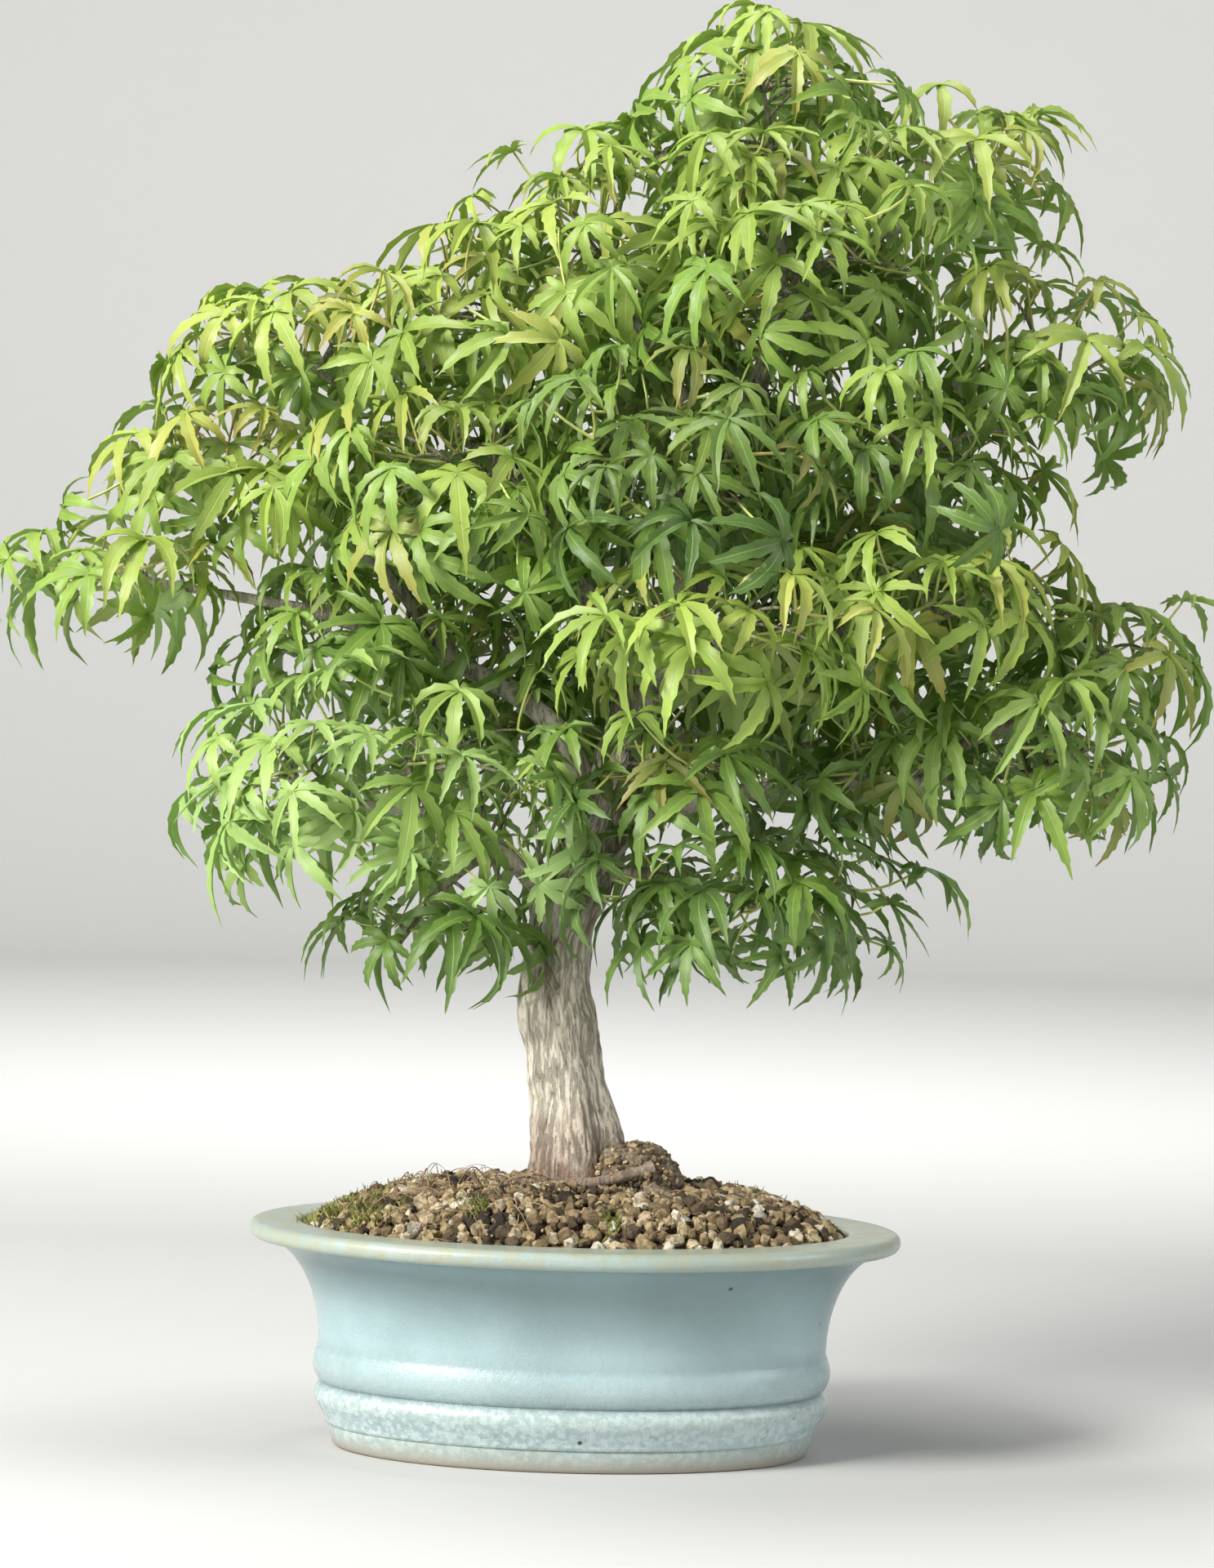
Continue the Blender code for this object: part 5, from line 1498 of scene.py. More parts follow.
Lobes = tuple[tuple[float, float], ...]
MAIN_LOBES: Lobes = ((-92, 0.66), (-45, 0.92), (0, 1.0), (45, 0.92), (92, 0.66))
Hub = tuple[Array, Array]
Twig = tuple[str, Array, list[Hub]]
# The stalk's foot, the hub, the blade's forward and normal directions, its size and its droop
Pose = tuple[Array, Array, Array, Array, float, float]
Spray = tuple[str, Array, list[Pose]]


def plain_tube(points: Array, radii: list[float], sides: int = 12) -> tuple[Array, Array]:
    """A plain tube, open at its ends, for tests of clearance: a ring at each point is the point
    plus its radius times (cos a * across + sin a * over), both square to the line.

    Args:
        points: its line.
        radii: its radius at each point.
        sides: how many sides it has.

    Returns:
        Its points and triangles.
    """
    points = np.asarray(points, float)
    along = unit(np.gradient(points, axis=0))
    lean = np.where(np.abs(along[:, 2:]) < 0.9, UP, (1.0, 0.0, 0.0))
    across = unit(np.cross(along, lean))
    over = np.cross(along, across)
    turn = turns(sides)[:, None]
    circle = np.cos(turn) * across[:, None] + np.sin(turn) * over[:, None]
    shell = points[:, None] + np.array(radii)[:, None, None] * circle
    quads, _ = strip_faces(len(points), sides)
    return shell.reshape(-1, 3), np.concatenate([quads[:, :3], quads[:, [0, 2, 3]]])


def search_tree(points: Array, faces: Array) -> BVHTree:
    """A search tree of triangles, for tests of clearance."""
    return BVHTree.FromPolygons(points.tolist(), np.asarray(faces).tolist(), all_triangles=True)


def along_line(line: Array, share: float) -> tuple[Array, Array]:
    """The point a share of the way along a line, and the line's direction there.

    Args:
        line: its points.
        share: from 0 at the start to 1 at the end.

    Returns:
        The point and the direction.
    """
    line = np.asarray(line, float)
    steps = np.linalg.norm(np.diff(line, axis=0), axis=1)
    reach = np.concatenate([[0.0], np.cumsum(steps)])
    want = share * reach[-1]
    span = min(int(np.searchsorted(reach, want, side="right")) - 1, len(steps) - 1)
    inside = (want - reach[span]) / steps[span]
    ahead = line[span + 1] - line[span]
    return line[span] + inside * ahead, aimed(ahead)


@dataclass(frozen=True)
class CoarseLeaf:
    """The plain five-lobed leaf of the frame's solids, which the tests of clearance use."""

    lobes: Lobes = MAIN_LOBES
    half_width: float = 0.090
    widest: float = 0.44
    sinus: float = 0.17
    base: float = 0.12
    base_spread: float = 38
    notch: float = 0.05
    collar: float = 1.5
    half_thickness: float = 0.00055
    stalk: float = 0.0005

    def faces(self) -> Array:
        """The leaf's triangles, as numbers of the points that shape gives: first the top, the
        collar's 3, the gaps beside the lobes, the notch, then the lobes' ridges, keels, ends and
        right and left edges, and last the stalk's foot.

        Returns:
            Triangles by 3.
        """
        turn = np.array([lobe[0] for lobe in self.lobes])
        count, lobe = len(turn), np.arange(len(turn))
        before, after, notch = 4 + lobe, 5 + lobe, 5 + count
        ridge, keel, end, right, left = (6 + (i + 1) * count + lobe for i in range(5))
        foot = 6 + 6 * count
        holder = np.where(np.abs(turn) < 60, 1, np.where(turn > 0, 2, 3))
        faces = [(0, notch - 1, notch), (0, notch, 4), (notch, 2, notch - 1), (4, 3, notch), (notch, 3, 2)]
        for hub, middle in ((np.zeros(count, int), ridge), (holder, keel)):
            for corners in ((hub, before, middle), (before, right, middle), (right, end, middle),
                            (hub, middle, after), (middle, left, after), (middle, end, left)):
                faces += np.stack(corners, axis=1).tolist()
        fan = np.stack([before[1:], holder[1:], holder[:-1]], axis=1)
        faces += fan[holder[1:] != holder[:-1]].tolist()
        for i, j in ((0, 1), (1, 2), (2, 0)):
            faces += [(1 + i, foot + j, foot + i), (1 + i, 1 + j, foot + j)]
        return np.array([*faces, (foot, foot + 1, foot + 2)])

    def shape(self, pose: Pose, half_thickness: float, stalk: float) -> tuple[Array, Array]:
        """The leaf as a closed star: a ridge and a keel along each lobe, and a stalk. A lobe
        rises for half its length and falls for the rest.

        Args:
            pose: where the leaf is.
            half_thickness: of the blade.
            stalk: the stalk's radius.

        Returns:
            Its points and triangles.
        """
        foot_place, hub, forward, normal, size, curl = pose
        across = np.cross(normal, forward)
        turn, share = np.array(self.lobes).T
        ends = turn[0] - self.base_spread, turn[-1] + self.base_spread
        gaps = np.radians([ends[0], *(turn[1:] + turn[:-1]) / 2, ends[1]])
        reach = size * np.array([self.base] + [self.sinus] * (len(turn) - 1) + [self.base])
        spoke, angle = np.radians((0, 120, 240)), np.radians(turn)
        rise, fall, length = math.radians(4), math.radians(curl), share * size
        half = self.half_width * size * (0.6 + 0.4 * share)
        middle, lift = 0.5 * length * math.cos(rise), 0.5 * length * math.sin(rise)
        out, down = middle + 0.5 * length * math.cos(fall), lift - 0.5 * length * math.sin(fall)
        dx, dy, wide = np.cos(angle), np.sin(angle), self.widest * length
        ring = self.collar * stalk
        local = np.concatenate([np.column_stack(np.broadcast_arrays(*row)) for row in (
            (0.0, 0.0, half_thickness),
            (ring * np.cos(spoke), ring * np.sin(spoke), -half_thickness),
            (reach * np.cos(gaps), reach * np.sin(gaps), -0.01 * size),
            (-self.notch * size, 0.0, 0.0),
            (middle * dx, middle * dy, lift + half_thickness),
            (middle * dx, middle * dy, lift - half_thickness),
            (out * dx, out * dy, down),
            (wide * dx + half * dy, wide * dy - half * dx, lift * 0.4),
            (wide * dx - half * dy, wide * dy + half * dx, lift * 0.4),
        )])
        back = aimed(foot_place - hub)
        front = aimed(np.cross(back, across))
        foot = np.outer(np.cos(spoke), front) + np.outer(np.sin(spoke), np.cross(front, back))
        points = hub + local @ np.array([forward, across, normal])
        return np.concatenate([points, foot_place + stalk * foot]), self.faces()


@dataclass
class CrownLayout:
    """Where the twigs and leaves are: those of the frame's solids, by the same rule and draw, and
    many more between and behind them."""

    wood: WoodSizes
    leaf: CoarseLeaf = CoarseLeaf()
    samples: int = 160
    lowest: float = -0.55
    inside: float = 0.82
    spacing: float = 0.0300
    bunch: int = 4
    bunch_reach: float = 0.060
    twig_short: float = 0.014
    twig_bow: float = 0.16
    twig_tries: int = 30
    blade_size: tuple[float, float] = (0.030, 0.037)
    leaf_tries: int = 36
    leaf_clearance: float = 0.0005
    leaf_reach: float = 0.080
    fill_samples: int = 60000
    fill_size: tuple[float, float] = (0.020, 0.031)
    twig_hubs: int = 3
    twig_spread: float = 0.034
    trunk_clear: float = 0.160
    trunk_round: float = 0.030
    crown_middle: float = 0.030
    narrowing: float = 6.5
    stalk_rise: float = -0.35
    fill_tries: int = 14
    fill_droop: tuple[float, float] = (18, 70)

    def main_hubs(self) -> dict[str, list[Hub]]:
        """The solids' leaf hubs, spread evenly over the outside of the pads.

        Returns:
            For each pad, its (place, outward direction) pairs.
        """
        rng = random.Random(SEED)
        taken: list[Array] = []
        hubs: dict[str, list[Hub]] = {}
        for index, (name, pad) in enumerate(PADS.items()):
            hubs[name] = []
            order = list(range(self.samples))
            rng.shuffle(order)
            for i in order:
                height = 1 - (1 - self.lowest) * (i + 0.5) / self.samples
                level = math.sqrt(1 - height * height)
                turn = GOLDEN_ANGLE * i
                out = np.array((level * math.cos(turn), level * math.sin(turn), height))
                place = np.array(pad.centre) + np.array(pad.half) * out * rng.uniform(0.88, 1.0)
                within = self.pad_distance(place[None])[0] < self.inside
                close = [other for other in taken if np.linalg.norm(place - other) < self.spacing]
                if np.delete(within, index).any() or close:
                    continue
                taken.append(place)
                hubs[name].append((place, aimed(out / np.array(pad.half))))
        return hubs

    def bunches(self, hubs: list[Hub], most: int, reach: float) -> list[list[Hub]]:
        """A pad's hubs in bunches of neighbours, each for one twig to carry.

        Args:
            hubs: the pad's hubs.
            most: the most hubs in a bunch.
            reach: how far from its first hub a bunch may spread.

        Returns:
            The bunches.
        """
        left = sorted(hubs, key=lambda hub: tuple(hub[0]))
        size = math.ceil(len(hubs) / math.ceil(len(hubs) / most)) if hubs else most
        found = []
        while left:
            first = left.pop(0)
            left.sort(key=lambda hub: float(np.linalg.norm(hub[0] - first[0])))
            near = [hub for hub in left[: size - 1] if np.linalg.norm(hub[0] - first[0]) < reach]
            found.append([first, *near])
            left = sorted(left[len(near):], key=lambda hub: tuple(hub[0]))
        return found

    def wood_trees(self) -> list[BVHTree]:
        """Search trees of the trunk and every limb, a little enlarged."""
        trees = []
        for line, thick in LIMBS.values():
            radii = [radius + GAP for radius in limb_radii(line, thick, self.wood.limb_tip)]
            trees.append(search_tree(*plain_tube(line, radii)))
        centres = [centre for centre, _ in self.wood.trunk]
        radii = [half + GAP for _, half in self.wood.trunk]
        trees.append(search_tree(*plain_tube(centres, radii)))
        return trees

    def twig_to(self, bunch: list[Hub], limb: str, rng: random.Random, loose: float) -> Array:
        """A twig from a limb into a bunch of hubs, leaving square to the limb.

        Args:
            bunch: the hubs that it carries.
            limb: the limb's name.
            rng: the random numbers.
            loose: how far its end may stray.

        Returns:
            Its three points.
        """
        line, thick = LIMBS[limb]
        goal = np.mean([place - 0.012 * outward for place, outward in bunch], axis=0)
        goal = goal + np.array([rng.uniform(-loose, loose) for _ in range(3)])
        shares = np.linspace(0.42, 1.0, 16)
        reach = [float(np.linalg.norm(along_line(line, share)[0] - goal)) for share in shares]
        nearest = int(np.argmin(reach))
        pick = min(max(nearest + rng.randint(-2, 2) - 1, 0), len(shares) - 1)
        share = float(shares[pick])
        place, along = along_line(line, share)
        towards = aimed(goal - place)
        if share == 1.0 and float(towards @ along) > 0.4:
            first, start = along, place + 2 * GAP * along
        else:
            first = aimed(towards - along * float(towards @ along))
            radii = limb_radii(line, thick, self.wood.limb_tip)
            radius = float(np.interp(share * (len(line) - 1), range(len(line)), radii))
            start = place + (radius + 2 * GAP) * first
        if np.linalg.norm(goal - start) < self.twig_short:
            goal = start + self.twig_short * aimed(goal - start + 0.002 * first)
        length = float(np.linalg.norm(goal - start))
        middle = start + 0.5 * (goal - start) + self.twig_bow * length * first
        return np.array([start, middle, goal])

    def main_twigs(self, trees: list[BVHTree]) -> list[Twig]:
        """The solids' twigs, clear of wood and of each other.

        Args:
            trees: search trees of the wood.

        Returns:
            Each twig's pad, points and hubs.
        """
        twigs: list[Twig] = []
        taken: list[BVHTree] = []
        for index, (name, hubs) in enumerate(self.main_hubs().items()):
            rng = random.Random(SEED * 100 + index)
            for bunch in self.bunches(hubs, self.bunch, self.bunch_reach):
                for attempt in range(self.twig_tries):
                    points = self.twig_to(bunch, PADS[name].limb, rng, 0.001 + 0.0006 * attempt)
                    tree = search_tree(*plain_tube(points, [self.wood.twig_radius] * 3))
                    if not any(tree.overlap(other) for other in (*trees, *taken)):
                        twigs.append((name, points, bunch))
                        taken.append(tree)
                        break
        return twigs

    def leaf_pose(self, node: Array, hub: Hub, rng: random.Random, loose: float,
                  sizes: tuple[float, float]) -> Pose | None:
        """One try at a leaf: it faces up and outwards and its lobes droop away from the trunk.

        Args:
            node: where its stalk leaves the twig.
            hub: its hub's place and outward direction.
            rng: the random numbers.
            loose: how far it may stray.
            sizes: the least and greatest size of a blade.

        Returns:
            The pose, or None where the stalk would meet the blade from above.
        """
        place, outward = hub
        jitter = np.array([rng.uniform(-loose, loose) for _ in range(3)])
        place = place + 0.008 * jitter
        level = np.array((outward[0], outward[1], 0.0)) + 1.2 * np.array((place[0], place[1], 0.0))
        heading = aimed(level + 0.5 * np.array((jitter[1], jitter[2], 0.0)) + 1e-6)
        normal = aimed(0.55 * outward + 0.75 * UP + 0.25 * heading + 0.6 * jitter)
        forward = aimed(heading - normal * float(heading @ normal))
        size = rng.uniform(*sizes)
        curl = rng.uniform(36, 64)
        if float(aimed(node - place) @ normal) > self.stalk_rise:
            return None
        return node, place, forward, normal, size, curl

    def main_leaves(self, twigs: list[Twig], trees: list[BVHTree]) -> list[Spray]:
        """The solids' leaves, none crossing another piece.

        Args:
            twigs: the solids' twigs.
            trees: search trees of the wood.

        Returns:
            Each twig's pad, points and leaves.
        """
        grown = [self.wood.twig_radius + GAP] * 3
        twig_trees = [search_tree(*plain_tube(points, grown)) for _, points, _ in twigs]
        placed: list[tuple[Array, BVHTree, int, BVHTree]] = []
        sprays = []
        thick, stalk = self.leaf.half_thickness, self.leaf.stalk
        for index, (name, points, bunch) in enumerate(twigs):
            rng = random.Random(SEED * 1000 + index)
            others = [*trees, *(tree for i, tree in enumerate(twig_trees) if i != index)]
            leaves = []
            for hub in bunch:
                nodes = [along_line(points, share)[0] for share in np.linspace(0.45, 0.97, 8)]
                node = min(nodes, key=lambda place: abs(float(np.linalg.norm(place - hub[0])) - 0.016))
                for attempt in range(self.leaf_tries):
                    pose = self.leaf_pose(node, hub, rng, 0.15 + 0.03 * attempt, self.blade_size)
                    if pose is None:
                        continue
                    grown_leaf = self.leaf.shape(pose, thick + self.leaf_clearance, stalk + GAP)
                    tree = search_tree(*grown_leaf)
                    near = [item for item in placed if np.linalg.norm(item[0] - pose[1]) < self.leaf_reach]
                    cut_stalk = (pose[1] + 0.6 * (node - pose[1]), *pose[1:])
                    blade = search_tree(*self.leaf.shape(cut_stalk, thick, stalk))
                    if any(tree.overlap(other) for other in others):
                        continue
                    if any(tree.overlap(item[1]) for item in near if item[2] != index):
                        continue
                    if any(blade.overlap(item[3]) for item in near if item[2] == index):
                        continue
                    if blade.overlap(twig_trees[index]):
                        continue
                    placed.append((pose[1], tree, index, blade))
                    leaves.append(pose)
                    break
            sprays.append((name, points, leaves))
        return [spray for spray in sprays if spray[2]]

    def pad_distance(self, places: Array) -> Array:
        """How far points are from each pad's middle, 1 on its ellipsoid."""
        return np.linalg.norm((places[:, None] - PAD_CENTRES) / PAD_HALVES, axis=-1)

    def fill_hubs(self, layer: "Layer", taken: list[Array]) -> dict[str, list[Hub]]:
        """More hubs, at random through a layer of the crown, none nearer than the layer's
        spacing to another.

        Args:
            layer: the layer.
            taken: the places of other hubs, which the new ones join.

        Returns:
            For each pad, its (place, outward direction) pairs.
        """
        rng = np.random.default_rng(layer.seed)
        names = list(PADS)
        centres, halves = PAD_CENTRES, PAD_HALVES
        low = (centres - 1.6 * halves).min(axis=0)
        high = (centres + 1.2 * halves).max(axis=0)
        spots = rng.uniform(low, high, size=(self.fill_samples, 3))
        spots = np.concatenate([np.reshape(layer.placed, (-1, 3)), spots])
        distance = self.pad_distance(spots)
        pads = np.argmin(distance, axis=1)
        nearest, second = np.sort(distance, axis=1)[:, :2].T
        joined = layer.second - self.narrowing * np.abs(spots[:, 0] - self.crown_middle)
        fits = (nearest > layer.least) & (nearest < layer.most) & (second < joined)
        below = (spots[:, 2] - centres[pads, 2]) / halves[pads, 2] < -layer.under
        trunk = np.hypot(spots[:, 0], spots[:, 1] + 0.01) < self.trunk_round
        trunk &= spots[:, 2] < self.trunk_clear
        fits &= ~below & ~trunk
        fits[:len(layer.placed)] = True
        hubs: dict[str, list[Hub]] = {name: [] for name in names}
        for i in np.flatnonzero(fits):
            if np.min(np.linalg.norm(np.array(taken) - spots[i], axis=1)) < layer.spacing:
                continue
            taken.append(spots[i])
            pad = pads[i]
            hubs[names[pad]].append((spots[i], aimed((spots[i] - centres[pad]) / halves[pad] ** 2)))
        return hubs

    def fill_sprays(self, sprays: list[Spray], layer: "Layer",
                    taken: list[Array]) -> list[tuple[int, Array, list[Pose]]]:
        """More leafy twigs, each from the nearest twig or limb of its pad.

        Args:
            sprays: the solids' sprays.
            layer: the layer of the crown that they fill.
            taken: the places of other hubs, which the new ones join.

        Returns:
            For each new twig, the number of the spray that it belongs to, its points and leaves.
        """
        rng = random.Random(layer.seed)
        found = []
        for name, hubs in self.fill_hubs(layer, taken).items():
            own = [i for i, spray in enumerate(sprays) if spray[0] == name]
            if not own:
                continue
            limb = smooth_line(np.array(LIMBS[PADS[name].limb][0]), 40)[16:]
            carriers = [limb] + [smooth_line(sprays[i][1], 12)[3:] for i in own]
            for bunch in self.bunches(hubs, self.twig_hubs, self.twig_spread):
                goal = np.mean([place - 0.011 * outward for place, outward in bunch], axis=0)
                reach = [np.linalg.norm(line - goal, axis=1) for line in carriers]
                best = int(np.argmin([np.min(way) for way in reach]))
                start = carriers[best][int(np.argmin(reach[best]))]
                length = float(np.linalg.norm(goal - start))
                middle = 0.5 * (start + goal) + UP * 0.12 * length
                points = np.array([start, middle, goal])
                leaves = self.fill_leaves(points, bunch, layer, rng)
                if leaves:
                    near = min(own, key=lambda i: float(np.linalg.norm(sprays[i][1][2] - goal)))
                    found.append((near, points, leaves))
        return found

    def fill_leaves(self, points: Array, bunch: list[Hub], layer: "Layer",
                    rng: random.Random) -> list[Pose]:
        """The leaves of one more twig, at freer angles than the solids' leaves.

        Args:
            points: the twig's three points.
            bunch: its hubs.
            layer: the layer of the crown that they fill.
            rng: the random numbers.

        Returns:
            The leaves that fit.
        """
        nodes = [along_line(points, share)[0] for share in np.linspace(0.5, 1.0, 6)]
        leaves = []
        for hub in bunch:
            node = min(nodes, key=lambda place: abs(float(np.linalg.norm(place - hub[0])) - 0.015))
            for _ in range(self.fill_tries):
                pose = self.leaf_pose(node, hub, rng, layer.loose, self.fill_size)
                if pose is not None:
                    leaves.append((*pose[:5], rng.uniform(*self.fill_droop)))
                    break
        return leaves


@dataclass(frozen=True)
class Layer:
    """A layer of the crown that more leaves fill, in distances from the pads' middles; where its depth is
    below 1 its leaves are darker as painted shade.
    """

    least: float
    most: float
    second: float
    spacing: float
    detail: Detail
    seed: int
    # below 1, the layer's leaves are darker as painted shade
    depth: float = 1.0
    under: float = 0.6
    loose: float = 0.7
    placed: tuple[Point, ...] = ()


STRAYS = (
    (-0.143, -0.004, 0.320), (-0.160, 0.0, 0.293), (-0.171, 0.0, 0.284), (-0.103, -0.010, 0.283),
    (-0.118, -0.010, 0.291), (-0.114, 0.0, 0.243), (-0.108, -0.005, 0.184), (0.151, -0.004, 0.366),
    (0.146, 0.0, 0.322), (0.161, 0.0, 0.318), (0.184, -0.003, 0.267), (0.127, -0.004, 0.199),
    (0.090, -0.010, 0.156), (-0.072, -0.006, 0.159), (-0.027, 0.0, 0.404), (0.024, 0.0, 0.438),
)


# Crown: the leaves themselves


@dataclass(frozen=True)
class LeafForm:
    """The maple leaf: long toothed lobes about the end of its stalk, arched and folded."""

    lobes: Lobes = MAIN_LOBES
    small_lobes: Lobes = ((-136, 0.34), (136, 0.34))
    scale: float = 0.93
    half_width: float = 0.086
    rise: float = 0.42
    tooth: float = 0.19
    fold: float = 0.50
    thickness: float = 0.00028

    def width(self, share: Array) -> Array:
        """A lobe's half width against its greatest, at a share of its length: a rise from a
        narrow base to the widest point near two fifths, then a long taper.

        It is (s + 0.05)^0.9 (1 - s)^1.3 over its own greatest value.
        """
        return (share + 0.05) ** 0.9 * (1 - share) ** 1.3 / 0.2566

    def lobes_of(self, poses: list[Pose], lobes: Lobes, rings: int, seed: int,
                 teeth: float) -> tuple[Array, dict[str, Array]]:
        """Every lobe of many leaves, each a closed blade of four-cornered rings.

        Its midline leaves the hub at its own angle, sways to one side, and its slope falls
        evenly from the rise to the droop. At each ring the right and left edges stand out by the
        half width, folded up about the midline, and the top and keel lie on it.

        Args:
            poses: the leaves.
            lobes: each lobe's angle in degrees and its length as a share of the leaf's size.
            rings: rings along a lobe.
            seed: the number that fixes the draw.
            teeth: how far the teeth stand out, as a share of the half width.

        Returns:
            Points as leaves by lobes by points by 3, and the values along, across and under.
        """
        rng = np.random.default_rng(seed)
        columns = (np.array(column)[:, None, None] for column in list(zip(*poses))[1:])
        hub, forward, normal, size, curl = columns
        across = np.cross(normal, forward)
        angle = np.radians([lobe[0] for lobe in lobes])[None, :, None]
        share = np.array([lobe[1] for lobe in lobes])[None, :, None]
        many = (len(poses), len(lobes), 1)
        s = (np.arange(rings) / rings)[None, None]
        size = size * np.where(size > 0.031, self.scale, 1.0)
        length = size * share * rng.uniform(0.86, 1.08, many)
        sway = rng.normal(0, 0.17, many) - 0.10 * np.sign(angle)
        heading = angle + rng.normal(0, 0.07, many) + sway * s
        rise = self.rise * rng.uniform(0.2, 1.6, (len(poses), 1, 1)) + rng.normal(0, 0.10, many)
        fall = np.radians(curl) + rng.normal(0.30, 0.20, many)
        slope = rise - (rise + fall) * s**0.95
        step = length / rings
        flat = np.cumsum(np.cos(slope) * step, axis=-1) - np.cos(slope[..., :1]) * step
        lift = np.cumsum(np.sin(slope) * step, axis=-1) - np.sin(slope[..., :1]) * step
        flat, lift = flat[..., None], lift[..., None]
        outward = np.cos(heading)[..., None] * forward + np.sin(heading)[..., None] * across
        middle = hub + flat * outward + lift * normal
        ahead = np.cos(slope)[..., None] * outward + np.sin(slope)[..., None] * normal
        above = np.cos(slope)[..., None] * normal - np.sin(slope)[..., None] * outward
        left = np.cross(above, ahead)
        twist = (rng.normal(0, 0.32, many) * s)[..., None]
        left, above = (
            np.cos(twist) * left + np.sin(twist) * above,
            np.cos(twist) * above - np.sin(twist) * left,
        )
        half = self.half_width * size * (0.6 + 0.4 * share) * self.width(s)
        odd = (np.arange(rings) % 2)[None, None]
        toothed = np.clip((s - 0.12) / 0.1, 0, 1)
        half = (half * (1 + teeth * (1.4 * odd - 0.5) * toothed))[..., None]
        shift = (0.45 * step * odd * toothed * (teeth > 0))[..., None] * ahead
        fold = (self.fold * rng.uniform(0.3, 1.3, many))[..., None]
        thick = self.thickness * (0.35 + 0.65 * self.width(s))[..., None]
        side, up = half * np.cos(fold), half * np.sin(fold)
        ring = np.stack([
            middle + 0.25 * thick * above,
            middle - side * left + up * above + shift,
            middle - 0.9 * thick * above,
            middle + side * left + up * above + shift,
        ], axis=3)
        tip = middle[:, :, -1:] + ahead[:, :, -1:] * step[..., None] * 1.2
        base = np.broadcast_to(hub, tip.shape) - 0.0004 * normal
        points = np.concatenate([ring.reshape(*ring.shape[:2], -1, 3), base, tip], axis=2)
        values = {
            "along": np.append(np.repeat(s[0, 0], 4), [0.0, 1.0]),
            "across": np.append(np.tile([0.0, 1.0, 0.0, 1.0], rings), [0.0, 0.5]),
            "under": np.append(np.tile([0.0, 0.5, 1.0, 0.5], rings), [0.6, 0.5]),
        }
        return points, values

    def add_blades(self, shell: Shell, poses: list[Pose], looks: dict[str, Array], detail: Detail,
                   seed: int) -> None:
        """Add many leaves' blades.

        Args:
            shell: the piece that they join.
            poses: the leaves.
            looks: how old and how lit each leaf is painted, its blush, and its mint tint and painted sheen.
            detail: how finely they are built.
            seed: the number that fixes the draw.
        """
        teeth = 0.0 if detail is Detail.PLAIN else self.tooth
        kinds = [(self.lobes, detail.value)]
        if detail is not Detail.PLAIN:
            kinds.append((self.small_lobes, detail.value // 2))
        for number, (lobes, rings) in enumerate(kinds):
            points, values = self.lobes_of(poses, lobes, rings, seed + number, teeth)
            count = len(poses) * len(lobes)
            step = points.shape[2]
            groups = [repeat_faces(group, count, step) for group in strip_faces(rings, 4)]
            whole = {name: np.tile(value, count) for name, value in values.items()}
            whole |= {name: np.repeat(value, len(lobes) * step) for name, value in looks.items()}
            shell.add(points.reshape(-1, 3), groups, 0, **whole)

    def add_stalks(self, shell: Shell, poses: list[Pose], looks: dict[str, Array], seed: int) -> None:
        """Add many leaves' stalks: each a parabola from the twig to its hub, bowed down a little.

        Args:
            shell: the piece that they join.
            poses: the leaves.
            looks: how old and how lit each leaf is painted, its blush, and its mint tint and painted sheen.
            seed: the number that fixes the draw.
        """
        rng = np.random.default_rng(seed)
        feet = np.array([pose[0] for pose in poses])
        hubs = np.array([pose[1] - 0.0003 * pose[3] for pose in poses])
        bow = rng.normal(0, 0.0012, feet.shape) - 0.0008 * UP
        lines = bowed_lines(feet, 0.5 * (feet + hubs) + bow, hubs, 5)
        radii = np.broadcast_to(np.linspace(0.00048, 0.00036, 5), lines.shape[:2])
        shell.tubes(lines, radii, 4, 1, **looks)


